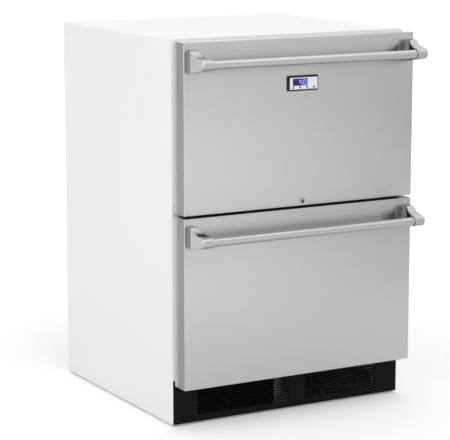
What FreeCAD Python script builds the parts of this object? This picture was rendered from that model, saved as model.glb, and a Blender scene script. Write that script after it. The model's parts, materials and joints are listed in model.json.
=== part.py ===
import FreeCAD, Part
import math
import os

from FreeCAD import Vector

# Two-drawer under-counter refrigerator, in millimetres.
# X runs to the right, Y to the rear and Z up. The fronts face -Y.
# The origin is on the floor, at the middle of the overall width and depth.

# Cabinet shell
CABINET_WIDTH = 606.0
CABINET_HEIGHT = 874.0
CABINET_DEPTH = 560.0
FLOOR_GAP = 5.0             # floor to the lower edges of the sides
SHEET = 1.0                 # wrapper, sill, rear panel and rear cover
WRAPPER_BEND = 2.5          # outside radius of the wrapper's top corners
SIDE_WALL = 40.0            # wrapper's outside to liner's inside
TOP_WALL = 42.0
REAR_WALL = 46.0
FLOOR_WALL = 42.0           # insulation under the liner's floor and around the step
LINER_WALL = 2.0
LINER_RADIUS = 12.0
DECK_HEIGHT = 108.0         # floor to the underside of the insulation
STEP_DEPTH = 158.0          # machine space at the rear
STEP_HEIGHT = 296.0
SILL_RETURN = 18.0

# Drawer fronts
FRONT_SIDE_INSET = 2.5      # cabinet's side to the front's side
FRONT_THICKNESS = 47.0      # with the inner panel
FRONT_TOP_DROP = 4.0        # cabinet's top to the upper front's top
FRONT_SPLIT = 6.0           # gap between the fronts
UPPER_FRONT_HEIGHT = 380.0
FRONT_BOTTOM = 96.0         # floor to the lower front
FRONT_EDGE_RADIUS = 4.0     # upright front edges
FRONT_CREASE = 1.2          # chamfer of the top and bottom edges
SKIN = 1.0
SKIN_RETURN = 14.0          # skin turned in at the back
INNER_PANEL = 15.0          # white panel behind the skin
INNER_PANEL_INSET = 1.0
SEAL_GAP = 6.0              # drawer front's back to the cabinet's face
GASKET_WIDTH = 14.0
GASKET_CLEARANCE = 0.2
GASKET_INSET = 14.0         # at the sides and the top of the upper front
GASKET_MULLION_INSET = 12.0  # at the top of the lower front
GASKET_LOCK_INSET = 18.0    # at the bottom of the upper front, clear of the lock
GASKET_SILL_INSET = 6.0     # above the underside of the insulation
MULLION_MARGIN = 4.0        # mullion beyond each gasket
MULLION_DEPTH = 36.0
MULLION_PLATE = 1.5

# Handles
HANDLE_DROP = 44.5          # front's top to the bar's axis
HANDLE_STANDOFF = 60.0      # front's face to the bar's axis
HANDLE_BAR_DIAMETER = 19.0
HANDLE_SOCKET = 20.0        # bar's length inside each collar
SOCKET_CLEARANCE = 0.1
COLLAR_DIAMETER = 24.0
COLLAR_LENGTH = 31.0
POST_EDGE_GAP = 5.0         # post to the front's side edge
POST_WIDTH = 20.0
POST_HEIGHT = 49.0
POST_RISE = 4.5             # middle of the post's foot above the bar's axis
POST_BASE_DEPTH = 18.0
POST_LEAN = 3.0             # outer side leans in towards the collar
ELBOW_RADIUS = 9.0          # outer corner of the post and its collar, seen from above

# Controller
CONTROLLER_X = 0.0
CONTROLLER_DROP = 101.5     # upper front's top to the controller's centre
BEZEL_WIDTH = 76.0
BEZEL_HEIGHT = 34.0
BEZEL_PROUD = 5.5
BEZEL_RADIUS = 2.5
BEZEL_BORDER = 1.4
FACE_PLATE = 1.2
FACE_LEDGE = 1.2            # bezel ledge that carries the face plate
CASE_WIDTH = 68.0
CASE_HEIGHT = 28.0
CASE_DEPTH = 26.0
WINDOW_WIDTH = 38.0
WINDOW_HEIGHT = 16.0
WINDOW_LEFT = 10.0          # bezel's left edge to the window
WINDOW_DROP = 6.5           # bezel's top edge to the window
BUTTON_WIDTH = 5.0
BUTTON_HEIGHT = 3.2
BUTTON_PITCH = 18.0
BUTTON_RAISE = 7.5          # button row above the bezel's bottom edge
BUTTON_FIRST = 11.0         # bezel's left edge to the first button's middle
BUTTON_PROUD = 1.0
BUTTON_TRAVEL = 0.8
BUTTON_FLANGE = 0.6
PANEL_CLEARANCE = 0.15

# Lock
LOCK_X = 2.0
LOCK_RAISE = 10.0           # upper front's bottom edge to the lock's axis
LOCK_FACE_DIAMETER = 15.0
LOCK_FACE_PROUD = 2.0
LOCK_BODY_FLATS = 12.0      # six-sided body inside the front
LOCK_HOLE_CLEARANCE = 0.3
LOCK_PLUG_DIAMETER = 8.0
LOCK_RUNNING_FIT = 0.08
KEYWAY_HEIGHT = 5.0
KEYWAY_WIDTH = 1.6
KEYWAY_DEPTH = 6.0
TONGUE_LENGTH = 24.0
TONGUE_HEIGHT = 8.4
TONGUE_THICKNESS = 4.0
TONGUE_SETBACK = 3.0        # mullion plate's back to the tongue
TONGUE_CLEARANCE = 1.2

# Slides and bins
RAIL_HEIGHT = 44.0
RAIL_SHEET = 1.5
RAIL_GAP = 0.4
RAIL_LIP = 3.0
RAIL_REVEAL = 3.0           # cabinet rail's lips to the bin
RAIL_SETBACK = 8.0          # cabinet's face to the rails' front ends
UPPER_RAIL_LENGTH = 420.0
LOWER_RAIL_LENGTH = 330.0
BIN_WALL = 2.0
BIN_RIM = 6.0
BIN_RIM_THICKNESS = 2.5
BIN_FLOOR_CLEARANCE = 10.0  # bin above the mullion or the liner's floor
BIN_REAR_MARGIN = 12.0      # bin's length beyond the rails
UPPER_HEADROOM = 96.0       # upper bin's rim to the ceiling
LOWER_HEADROOM = 74.0       # lower bin's rim to the mullion
RAIL_RAISE = 70.0           # bin's bottom to the rails' middle

# Toe grille
GRILLE_SHEET = 2.5
GRILLE_CLEARANCE = 0.5
GRILLE_RETURN = 20.0
WINDOW_SIDE_GAP = 63.0      # cabinet's side to the nearer window
WINDOW_COLUMN = (1.0, 46.0)  # plain strip between the windows
LOUVRE_BOTTOM = 16.0        # grille's lower edge to the windows
LOUVRE_TOP = 18.0           # grille's upper edge to the windows
LOUVRE_PITCH = 6.0
LOUVRE_THICKNESS = 1.4
LOUVRE_DEPTH = 4.0
LOUVRE_DROOP = 0.6          # front edge of a blade below its back edge
RIB_PITCH = 84.0
RIB_THICKNESS = 2.0
RIB_OVERLAP = 3.0           # ribs behind the window's borders

# Base pan and legs
PAN_SHEET = 2.0
PAN_FLANGE = 20.0
LEG_X_INSET = 38.0          # cabinet's side to the leg's axis
LEG_Y_INSET = 46.0          # cabinet's face or rear to the leg's axis
LEG_STUD_DIAMETER = 10.0
LEG_STUD_HEIGHT = 48.0
LEG_FOOT_FLATS = 34.0
LEG_FOOT_CLEARANCE = 0.3
LEG_RUNNING_FIT = 0.1

# Machine space
COMPRESSOR_X = 62.0
COMPRESSOR_RADIUS = 64.0
COMPRESSOR_HEIGHT = 168.0
COMPRESSOR_LID = 60.0       # height of the lid that fits inside the shell
COMPRESSOR_LID_INSET = 6.0
COMPRESSOR_PLATE = 3.0
COMPRESSOR_PLATE_LENGTH = 196.0
COMPRESSOR_PLATE_WIDTH = 120.0
GROMMET_INSET = 14.0
GROMMET_FLATS = 20.0
GROMMET_HEIGHT = 12.0
CONDENSER_SIDE_GAP = 67.0   # cabinet's left side to the left header's middle
CONDENSER_RIGHT = 14.0
CONDENSER_SETBACK = 24.0    # cabinet's face to the condenser
CONDENSER_DEPTH = 22.0
CONDENSER_HEIGHT = 84.0
CONDENSER_TUBES = 7
CONDENSER_TUBE = 2.0
CONDENSER_HEADER = 14.0     # width of each end header
FIN_SHEET = 0.4
FIN_FOLDS = 8
FIN_SETBACK = 1.5
FAN_BLADES = 4
FAN_HUB_RADIUS = 13.0
FAN_HUB_DEPTH = 12.0
FAN_MOTOR_RADIUS = 17.0
FAN_MOTOR_DEPTH = 16.0
FAN_SHAFT_RADIUS = 2.0
FAN_SHAFT_FIT = 0.08
FAN_SHAFT_LENGTH = 8.0
FAN_RUNNING_GAP = 0.6
FAN_STRAP = 3.0             # thickness of the motor's bracket
FAN_STRAP_WIDTH = 18.0
BLADE_THICKNESS = 1.4
BLADE_ROOT = 12.0           # chord at the hub
BLADE_TIP = 24.0            # chord at the tip
BLADE_PITCH = 28.0          # degrees from the fan's plane
CONDENSER_FAN_SIZE = 78.0
CONDENSER_FAN_GAP = 10.0
EVAPORATOR_FAN_SIZE = 92.0
EVAPORATOR_FAN_GAP = 8.0
LINE_RADIUS = 4.0
LINE_CLEARANCE = 0.3
DISCHARGE_Z = 60.0
LIQUID_Z = 30.0
CAPILLARY_RADIUS = 1.5
DRIER_RADIUS = 9.0
DRIER_LENGTH = 80.0
DRIER_Y = 60.0
MODULE_LENGTH = 120.0
MODULE_WIDTH = 80.0
MODULE_HEIGHT = 46.0
MODULE_LEFT = 60.0
MODULE_FRONT = -60.0
DRAIN_PAN_GAP = 22.0        # drain pan to the compressor's foot plate
DRAIN_PAN_WIDTH = 120.0
DRAIN_PAN_HEIGHT = 36.0
DRAIN_PAN_WALL = 2.0
DRAIN_PAN_SIDE_GAP = 75.0   # cabinet's left side to the drain pan
DRAIN_RADIUS = 8.0
DRAIN_BORE = 6.0
DRAIN_INSET = 62.0          # drain pan's right end to the drain tube
DRAIN_DIP = 20.0            # drain tube below the pan's rim
COVER_CLEARANCE = 0.5
COVER_SLOT_LENGTH = 120.0
COVER_SLOT_HEIGHT = 5.0
COVER_SLOT_PITCH = 20.0
COVER_SLOT_ROWS = 6
COVER_SLOT_COLUMNS = 3
COVER_SLOT_SPACING = 150.0
COVER_SLOT_BOTTOM = 70.0    # cover's lower edge to the first slot
GLAND_SIDE_GAP = 73.0       # cabinet's left side to the gland's axis
GLAND_Z = 40.0
GLAND_FLATS = 18.0
GLAND_BORE = 4.5
GLAND_FLANGE_FLATS = 26.0
GLAND_FLANGE_THICKNESS = 3.0
GLAND_LENGTH = 12.0

# Evaporator and air duct
DUCT_DEPTH = 60.0
DUCT_SIDE_GAP = 31.0        # liner's side to the duct
DUCT_WALL = 2.0
DUCT_TOP_GAP = 18.0
DUCT_SLOT_LENGTH = 120.0
DUCT_SLOT_HEIGHT = 6.0
DUCT_SLOT_PITCH = 14.0
DUCT_SLOT_ROWS = 4
DUCT_SLOT_DROP = 30.0
DUCT_SLOT_X = 120.0
FAN_Z = 470.0
FAN_SLOT_LENGTH = 64.0
FAN_SLOT_ROWS = 5
COIL_SIDE_GAP = 62.0        # duct's side to the outer channel's middle
COIL_PASSES = 6
COIL_PITCH = 32.0
COIL_CHANNEL = 12.0         # width of the raised channel
COIL_RAISE = 4.0
COIL_TOP_GAP = 60.0         # ceiling to the top pass
PLATE_SHEET = 2.0
PLATE_MARGIN = 16.0
BRACKET_WIDTH = 20.0
STUB_LAP = 12.0             # stub's length along the plate

# Places worked out from the sizes above
HALF_WIDTH = CABINET_WIDTH / 2
HANDLE_REACH = HANDLE_STANDOFF + COLLAR_DIAMETER / 2
REAR_Y = (CABINET_DEPTH + SEAL_GAP + FRONT_THICKNESS + HANDLE_REACH) / 2
FACE_Y = REAR_Y - CABINET_DEPTH
FRONT_BACK_Y = FACE_Y - SEAL_GAP
SKIN_BACK_Y = FRONT_BACK_Y - INNER_PANEL
FRONT_Y = FRONT_BACK_Y - FRONT_THICKNESS
HANDLE_Y = FRONT_Y - HANDLE_STANDOFF
FRONT_HALF = HALF_WIDTH - FRONT_SIDE_INSET

LINER_HALF = HALF_WIDTH - SIDE_WALL
CEILING_Z = CABINET_HEIGHT - TOP_WALL
COLD_FLOOR_Z = DECK_HEIGHT + FLOOR_WALL
COLD_REAR_Y = REAR_Y - REAR_WALL
MACHINE_Y = REAR_Y - SHEET - STEP_DEPTH
STEP_Y = MACHINE_Y - FLOOR_WALL
STEP_TOP_Z = STEP_HEIGHT + FLOOR_WALL
INLET_LOW_Z = STEP_HEIGHT + FLOOR_WALL / 2
SILL_BOTTOM_Z = DECK_HEIGHT - SHEET

UPPER_TOP_Z = CABINET_HEIGHT - FRONT_TOP_DROP
UPPER_LOW_Z = UPPER_TOP_Z - UPPER_FRONT_HEIGHT
LOWER_TOP_Z = UPPER_LOW_Z - FRONT_SPLIT
LOWER_LOW_Z = FRONT_BOTTOM
UPPER_SEAL = (UPPER_LOW_Z + GASKET_LOCK_INSET, UPPER_TOP_Z - GASKET_INSET)
LOWER_SEAL = (DECK_HEIGHT + GASKET_SILL_INSET, LOWER_TOP_Z - GASKET_MULLION_INSET)
MULLION_LOW_Z = LOWER_SEAL[1] - GASKET_WIDTH - MULLION_MARGIN
MULLION_TOP_Z = UPPER_SEAL[0] + GASKET_WIDTH + MULLION_MARGIN

RAIL_CHANNEL = 5 * RAIL_SHEET + 4 * RAIL_GAP
BIN_HALF = LINER_HALF - RAIL_CHANNEL - RAIL_REVEAL
RAIL_FRONT_Y = FACE_Y + RAIL_SETBACK
UPPER_BIN_Z = MULLION_TOP_Z + BIN_FLOOR_CLEARANCE
LOWER_BIN_Z = COLD_FLOOR_Z + BIN_FLOOR_CLEARANCE
UPPER_BIN_HEIGHT = CEILING_Z - UPPER_HEADROOM - UPPER_BIN_Z
LOWER_BIN_HEIGHT = MULLION_LOW_Z - LOWER_HEADROOM - LOWER_BIN_Z
UPPER_BIN_REAR_Y = RAIL_FRONT_Y + UPPER_RAIL_LENGTH + BIN_REAR_MARGIN
LOWER_BIN_REAR_Y = RAIL_FRONT_Y + LOWER_RAIL_LENGTH + BIN_REAR_MARGIN

CONTROLLER_Z = UPPER_TOP_Z - CONTROLLER_DROP
BEZEL_LEFT = CONTROLLER_X - BEZEL_WIDTH / 2
BEZEL_LOW_Z = CONTROLLER_Z - BEZEL_HEIGHT / 2
BEZEL_Y = FRONT_Y - BEZEL_PROUD
BUTTON_POCKET = BUTTON_FLANGE + BUTTON_TRAVEL + PANEL_CLEARANCE
BUTTON_NAMES = ["set", "down", "up", "power"]
BUTTON_Z = BEZEL_LOW_Z + BUTTON_RAISE
LOCK_Z = UPPER_LOW_Z + LOCK_RAISE
TONGUE_Y = FACE_Y + MULLION_PLATE + TONGUE_SETBACK

LEFT_WINDOW = (WINDOW_SIDE_GAP - HALF_WIDTH, WINDOW_COLUMN[0])
RIGHT_WINDOW = (WINDOW_COLUMN[1], HALF_WIDTH - WINDOW_SIDE_GAP)
PAN_TOP_Z = FLOOR_GAP + PAN_SHEET
PAN_FRONT_Y = FACE_Y + GRILLE_RETURN + GRILLE_CLEARANCE
COMPRESSOR_Y = MACHINE_Y + STEP_DEPTH / 2
COMPRESSOR_PLATE_Z = PAN_TOP_Z + GROMMET_HEIGHT
COMPRESSOR_TOP_Z = COMPRESSOR_PLATE_Z + COMPRESSOR_HEIGHT
CONDENSER_LEFT = CONDENSER_SIDE_GAP - HALF_WIDTH
CONDENSER_Y = FACE_Y + CONDENSER_SETBACK
CONDENSER_BACK_Y = CONDENSER_Y + CONDENSER_DEPTH
DUCT_HALF_WIDTH = LINER_HALF - DUCT_SIDE_GAP
DUCT_Y = COLD_REAR_Y - DUCT_DEPTH
DUCT_TOP_Z = CEILING_Z - DUCT_TOP_GAP
DUCT_LOW_Z = STEP_TOP_Z + LINER_RADIUS
COIL_HALF_WIDTH = DUCT_HALF_WIDTH - COIL_SIDE_GAP
COIL_INLET_X = -COIL_HALF_WIDTH
GLAND_X = GLAND_SIDE_GAP - HALF_WIDTH
COIL_OUTLET_X = COMPRESSOR_X
COIL_TOP_Z = CEILING_Z - COIL_TOP_GAP
COIL_LOW_Z = COIL_TOP_Z - (COIL_PASSES - 1) * COIL_PITCH
PLATE_LOW_Z = COIL_LOW_Z - PLATE_MARGIN
DRAIN_PAN_LEFT = DRAIN_PAN_SIDE_GAP - HALF_WIDTH
DRAIN_PAN_RIGHT = COMPRESSOR_X - COMPRESSOR_PLATE_LENGTH / 2 - DRAIN_PAN_GAP
DRAIN_X = DRAIN_PAN_RIGHT - DRAIN_INSET
DRAIN_PAN_FRONT = COMPRESSOR_Y - DRAIN_PAN_WIDTH / 2

X_AXIS = Vector(1, 0, 0)
Y_AXIS = Vector(0, 1, 0)
Z_AXIS = Vector(0, 0, 1)


def block(x_range, y_range, z_range):
    """A box between three pairs of limits."""
    corner = Vector(x_range[0], y_range[0], z_range[0])
    sizes = [high - low for low, high in (x_range, y_range, z_range)]
    return Part.makeBox(*sizes, corner)


def both_ways(half):
    """The pair of limits at the same distance left and right of the middle."""
    return (-half, half)


def outline(points):
    """A flat face inside a closed row of straight lines."""
    return Part.Face(Part.makePolygon(points + points[:1]))


def prism_x(points, x_range):
    """A Y-Z outline drawn out along X."""
    face = outline([Vector(x_range[0], y, z) for y, z in points])
    return face.extrude(X_AXIS * (x_range[1] - x_range[0]))


def prism_y(points, y_range):
    """An X-Z outline drawn out along Y."""
    face = outline([Vector(x, y_range[0], z) for x, z in points])
    return face.extrude(Y_AXIS * (y_range[1] - y_range[0]))


def prism_z(points, z_range):
    """An X-Y outline drawn out along Z."""
    face = outline([Vector(x, y, z_range[0]) for x, y in points])
    return face.extrude(Z_AXIS * (z_range[1] - z_range[0]))


def rod(start, end, radius):
    """A round bar between two points."""
    return Part.makeCylinder(radius, (end - start).Length, start, end - start)


def hexagon(across, up, flats):
    """The corners of a six-sided outline, sized across its flats."""
    reach = flats / math.sqrt(3)
    turns = [math.radians(60 * step) for step in range(6)]
    return [(across + reach * math.cos(turn), up + reach * math.sin(turn)) for turn in turns]


def mirrored(shape):
    """A right-hand solid together with its left-hand twin."""
    return Part.makeCompound([shape, shape.mirror(Vector(), X_AXIS)])


def edges_along(shape, axis):
    """The straight edges that run parallel to an axis."""
    straight = [edge for edge in shape.Edges if len(edge.Vertexes) == 2]
    return [edge for edge in straight if edge.tangentAt(edge.FirstParameter).cross(axis).Length < 1e-6]


def rounded(shape, radius, axis, keep=lambda point: True):
    """Rounds the edges along an axis whose middles pass a test."""
    chosen = [edge for edge in edges_along(shape, axis) if keep(edge.CenterOfMass)]
    return shape.makeFillet(radius, chosen)


# Cabinet shell


def upright_arch(half_width, top_z, radius, y_range, low_z):
    """A block whose two top corners are rounded."""
    arch = block(both_ways(half_width), y_range, (low_z, top_z))
    return rounded(arch, radius, Y_AXIS, lambda point: point.z > top_z - radius)


def inside_arch(y_range, low_z):
    """The space inside the wrapper."""
    bend = WRAPPER_BEND - SHEET
    return upright_arch(HALF_WIDTH - SHEET, CABINET_HEIGHT - SHEET, bend, y_range, low_z)


def outer_wrapper():
    shell = upright_arch(HALF_WIDTH, CABINET_HEIGHT, WRAPPER_BEND, (FACE_Y, REAR_Y), FLOOR_GAP)
    hollow = inside_arch((FACE_Y + SHEET, REAR_Y + SHEET), FLOOR_GAP - SHEET)
    lip = (FACE_Y - SHEET, FACE_Y + 2 * SHEET)
    doorway = block(both_ways(LINER_HALF + LINER_WALL), lip, (SILL_BOTTOM_Z, CEILING_Z + LINER_WALL))
    toe = block(both_ways(HALF_WIDTH - SHEET), lip, (FLOOR_GAP - SHEET, SILL_BOTTOM_Z))
    return shell.cut([hollow, doorway, toe])


def front_sill():
    top_z = COLD_FLOOR_Z - LINER_WALL
    profile = [
        (FACE_Y, SILL_BOTTOM_Z),
        (FACE_Y + SILL_RETURN, SILL_BOTTOM_Z),
        (FACE_Y + SILL_RETURN, DECK_HEIGHT),
        (FACE_Y + SHEET, DECK_HEIGHT),
        (FACE_Y + SHEET, top_z),
        (FACE_Y, top_z),
    ]
    return prism_x(profile, both_ways(LINER_HALF + LINER_WALL))


def rear_panel():
    return inside_arch((REAR_Y - SHEET, REAR_Y), STEP_HEIGHT)


def rear_cover():
    width = both_ways(HALF_WIDTH - SHEET - COVER_CLEARANCE)
    low_z = PAN_TOP_Z + PAN_FLANGE
    depth = (REAR_Y - SHEET, REAR_Y)
    sheet = block(width, depth, (PAN_TOP_Z, STEP_HEIGHT - COVER_CLEARANCE))
    slots = []
    for row in range(COVER_SLOT_ROWS):
        slot_z = low_z + COVER_SLOT_BOTTOM + row * COVER_SLOT_PITCH
        for column in range(COVER_SLOT_COLUMNS):
            middle = (column - (COVER_SLOT_COLUMNS - 1) / 2) * COVER_SLOT_SPACING
            span = (middle - COVER_SLOT_LENGTH / 2, middle + COVER_SLOT_LENGTH / 2)
            slots.append(block(span, depth, (slot_z, slot_z + COVER_SLOT_HEIGHT)))
    hole = gland_block(GLAND_FLATS + 2 * LINE_CLEARANCE, depth)
    return sheet.cut(slots + [hole])


def gland_block(flats, y_range):
    """A six-sided piece on the gland's axis."""
    return prism_y(hexagon(GLAND_X, PAN_TOP_Z + PAN_FLANGE + GLAND_Z, flats), y_range)


def cord_gland():
    inner_y = REAR_Y - GLAND_LENGTH
    flange_y = REAR_Y - SHEET - GLAND_FLANGE_THICKNESS
    barrel = gland_block(GLAND_FLATS, (inner_y, REAR_Y))
    flange = gland_block(GLAND_FLANGE_FLATS, (flange_y, REAR_Y - SHEET))
    middle = Vector(GLAND_X, inner_y, PAN_TOP_Z + PAN_FLANGE + GLAND_Z)
    return barrel.fuse(flange).cut(rod(middle, middle + Y_AXIS * GLAND_LENGTH, GLAND_BORE))


def cold_space(grow):
    """The space inside the liner, or the liner's outside when grown by its wall."""
    profile = [
        (FACE_Y, COLD_FLOOR_Z - grow),
        (STEP_Y + grow, COLD_FLOOR_Z - grow),
        (STEP_Y + grow, STEP_TOP_Z - grow),
        (COLD_REAR_Y + grow, STEP_TOP_Z - grow),
        (COLD_REAR_Y + grow, CEILING_Z + grow),
        (FACE_Y, CEILING_Z + grow),
    ]
    space = prism_x(profile, both_ways(LINER_HALF + grow))
    inner_corner = Vector(0, STEP_Y + grow, STEP_TOP_Z - grow)
    hollow_corners = []
    step_corner = []
    for edge in edges_along(space, X_AXIS):
        middle = edge.CenterOfMass
        if middle.y < FACE_Y + 1:
            continue
        if (middle - inner_corner).Length < 1:
            step_corner.append(edge)
        else:
            hollow_corners.append(edge)
    space = space.makeFillet(LINER_RADIUS + grow, hollow_corners)
    corner = [edge for edge in edges_along(space, X_AXIS) if (edge.CenterOfMass - inner_corner).Length < 1]
    return space.makeFillet(LINER_RADIUS - grow, corner)


def step_hole(x, half, low_z):
    """A square hole through the step's insulation, over the compressor's row."""
    across = (x - half, x + half)
    return block(across, (COMPRESSOR_Y - half, COMPRESSOR_Y + half), (low_z, STEP_TOP_Z + SHEET))


def step_holes():
    tube = LINE_RADIUS + LINE_CLEARANCE
    return [
        step_hole(COIL_INLET_X, tube, INLET_LOW_Z),
        step_hole(COIL_OUTLET_X, tube, STEP_HEIGHT),
        step_hole(DRAIN_X, DRAIN_RADIUS + LINE_CLEARANCE, STEP_HEIGHT),
    ]


def inner_liner():
    return cold_space(LINER_WALL).cut([cold_space(0)] + step_holes())


def insulation_foam():
    body = inside_arch((FACE_Y + SHEET, REAR_Y - SHEET), DECK_HEIGHT)
    machine = block(both_ways(HALF_WIDTH), (MACHINE_Y, REAR_Y), (DECK_HEIGHT - SHEET, STEP_HEIGHT))
    return body.cut([machine, cold_space(LINER_WALL)] + step_holes())


def mullion_plate():
    sheet = block(both_ways(LINER_HALF), (FACE_Y, FACE_Y + MULLION_PLATE), (MULLION_LOW_Z, MULLION_TOP_Z))
    half_length = TONGUE_LENGTH / 2 + TONGUE_CLEARANCE
    half_height = TONGUE_HEIGHT / 2 + TONGUE_CLEARANCE
    slot = block(
        (LOCK_X - half_length, LOCK_X + half_length),
        (FACE_Y - SHEET, FACE_Y + 2 * MULLION_PLATE),
        (LOCK_Z - half_height, LOCK_Z + half_height),
    )
    return sheet.cut(slot)


def mullion_body():
    front_y = FACE_Y + MULLION_PLATE
    body = block(both_ways(LINER_HALF), (front_y, FACE_Y + MULLION_DEPTH), (MULLION_LOW_Z, MULLION_TOP_Z))
    sweep = math.hypot(TONGUE_LENGTH, TONGUE_HEIGHT) / 2 + TONGUE_CLEARANCE
    back_y = TONGUE_Y + TONGUE_THICKNESS + TONGUE_CLEARANCE
    pocket = block((LOCK_X - sweep, LOCK_X + sweep), (front_y, back_y), (LOCK_Z - sweep, LOCK_Z + sweep))
    return body.cut(pocket)


# Base


def leg_places():
    """Each levelling leg's name and axis."""
    places = {}
    for end, y in (("front", FACE_Y + LEG_Y_INSET), ("rear", REAR_Y - LEG_Y_INSET)):
        for side, sign in (("left", -1), ("right", 1)):
            places[f"{end}_{side}_leg"] = (sign * (HALF_WIDTH - LEG_X_INSET), y)
    return places


def base_pan():
    half = HALF_WIDTH - SHEET
    high_z = PAN_TOP_Z + PAN_FLANGE
    outside = block(both_ways(half), (PAN_FRONT_Y, REAR_Y - SHEET), (FLOOR_GAP, high_z))
    inner_y = (PAN_FRONT_Y, REAR_Y - SHEET - PAN_SHEET)
    cuts = [block(both_ways(half - PAN_SHEET), inner_y, (PAN_TOP_Z, high_z))]
    for x, y in leg_places().values():
        low = Vector(x, y, FLOOR_GAP)
        cuts.append(rod(low, Vector(x, y, PAN_TOP_Z), LEG_STUD_DIAMETER / 2 + LEG_RUNNING_FIT))
    return outside.cut(cuts)


def levelling_leg(x, y):
    foot_z = FLOOR_GAP - LEG_FOOT_CLEARANCE
    foot = prism_z(hexagon(x, y, LEG_FOOT_FLATS), (0, foot_z))
    stud = rod(Vector(x, y, foot_z), Vector(x, y, LEG_STUD_HEIGHT), LEG_STUD_DIAMETER / 2)
    return foot.fuse(stud)


def toe_grille():
    half = HALF_WIDTH - SHEET - GRILLE_CLEARANCE
    height = (FLOOR_GAP, SILL_BOTTOM_Z - GRILLE_CLEARANCE)
    plate_y = (FACE_Y, FACE_Y + GRILLE_SHEET)
    panel = block(both_ways(half), (FACE_Y, FACE_Y + GRILLE_RETURN), height)
    panel = panel.cut(block(both_ways(half - GRILLE_SHEET), (plate_y[1], FACE_Y + 2 * GRILLE_RETURN), height))
    low_z = height[0] + LOUVRE_BOTTOM
    high_z = height[1] - LOUVRE_TOP
    blade_y = (FACE_Y, FACE_Y + LOUVRE_DEPTH)
    pieces = []
    for left, right in (LEFT_WINDOW, RIGHT_WINDOW):
        panel = panel.cut(block((left, right), (FACE_Y - 1, plate_y[1] + 1), (low_z, high_z)))
        blades = int((high_z - low_z - LOUVRE_DROOP) / LOUVRE_PITCH)
        for step in range(blades):
            z = low_z + (step + 0.5) * LOUVRE_PITCH
            profile = [
                (blade_y[0], z),
                (blade_y[1], z + LOUVRE_DROOP),
                (blade_y[1], z + LOUVRE_DROOP + LOUVRE_THICKNESS),
                (blade_y[0], z + LOUVRE_THICKNESS),
            ]
            pieces.append(prism_x(profile, (left, right)))
        ribs = max(1, round((right - left) / RIB_PITCH)) - 1
        for step in range(ribs):
            middle = left + (step + 1) * (right - left) / (ribs + 1)
            span = (middle - RIB_THICKNESS / 2, middle + RIB_THICKNESS / 2)
            rib_z = (low_z - RIB_OVERLAP, high_z + RIB_OVERLAP)
            pieces.append(block(span, (plate_y[1], blade_y[1]), rib_z))
    return panel.fuse(pieces).removeSplitter()


# Machine space


def compressor():
    low = COMPRESSOR_PLATE_Z + COMPRESSOR_PLATE
    profile = outline([
        Vector(0, 0, low),
        Vector(COMPRESSOR_RADIUS, 0, low),
        Vector(COMPRESSOR_RADIUS, 0, COMPRESSOR_TOP_Z - COMPRESSOR_LID),
        Vector(COMPRESSOR_RADIUS - COMPRESSOR_LID_INSET, 0, COMPRESSOR_TOP_Z - COMPRESSOR_LID),
        Vector(COMPRESSOR_RADIUS - COMPRESSOR_LID_INSET, 0, COMPRESSOR_TOP_Z),
        Vector(0, 0, COMPRESSOR_TOP_Z),
    ])
    shell = profile.revolve(Vector(), Z_AXIS, 360)
    shell.translate(Vector(COMPRESSOR_X, COMPRESSOR_Y, 0))
    half_length = COMPRESSOR_PLATE_LENGTH / 2
    half_width = COMPRESSOR_PLATE_WIDTH / 2
    plate = block(
        (COMPRESSOR_X - half_length, COMPRESSOR_X + half_length),
        (COMPRESSOR_Y - half_width, COMPRESSOR_Y + half_width),
        (COMPRESSOR_PLATE_Z, low),
    )
    return shell.fuse(plate)


def grommet_places():
    """The four mounting points under the compressor."""
    reach_x = COMPRESSOR_PLATE_LENGTH / 2 - GROMMET_INSET
    reach_y = COMPRESSOR_PLATE_WIDTH / 2 - GROMMET_INSET
    return [(COMPRESSOR_X + a * reach_x, COMPRESSOR_Y + b * reach_y) for a in (-1, 1) for b in (-1, 1)]


def compressor_grommets():
    height = (PAN_TOP_Z, COMPRESSOR_PLATE_Z)
    return Part.makeCompound([prism_z(hexagon(x, y, GROMMET_FLATS), height) for x, y in grommet_places()])


def condenser_tube_levels():
    """The middle height of each flat condenser tube."""
    pitch = (CONDENSER_HEIGHT - CONDENSER_TUBE) / (CONDENSER_TUBES - 1)
    return [PAN_TOP_Z + CONDENSER_TUBE / 2 + step * pitch for step in range(CONDENSER_TUBES)]


def condenser_core():
    span = (CONDENSER_LEFT, CONDENSER_RIGHT)
    tubes = []
    for z in condenser_tube_levels():
        level = (z - CONDENSER_TUBE / 2, z + CONDENSER_TUBE / 2)
        tubes.append(block(span, (CONDENSER_Y, CONDENSER_BACK_Y), level))
    half = CONDENSER_HEADER / 2
    height = (PAN_TOP_Z, PAN_TOP_Z + CONDENSER_HEIGHT)
    for x in span:
        tubes.append(block((x - half, x + half), (CONDENSER_Y, CONDENSER_BACK_Y), height))
    return tubes[0].fuse(tubes[1:])


def condenser_fins():
    levels = condenser_tube_levels()
    left = CONDENSER_LEFT + CONDENSER_HEADER / 2 + FIN_SETBACK
    right = CONDENSER_RIGHT - CONDENSER_HEADER / 2 - FIN_SETBACK
    depth = (CONDENSER_Y + FIN_SETBACK, CONDENSER_BACK_Y - FIN_SETBACK)
    fold = (right - left) / FIN_FOLDS
    strips = []
    for below, above in zip(levels, levels[1:]):
        low_z = below + CONDENSER_TUBE / 2
        high_z = above - CONDENSER_TUBE / 2 - FIN_SHEET
        zigzag = [(left + step * fold, high_z if step % 2 else low_z) for step in range(FIN_FOLDS + 1)]
        upper = [(x, z + FIN_SHEET) for x, z in reversed(zigzag)]
        strips.append(prism_y(zigzag + upper, depth))
    return Part.makeCompound(strips)


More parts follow.
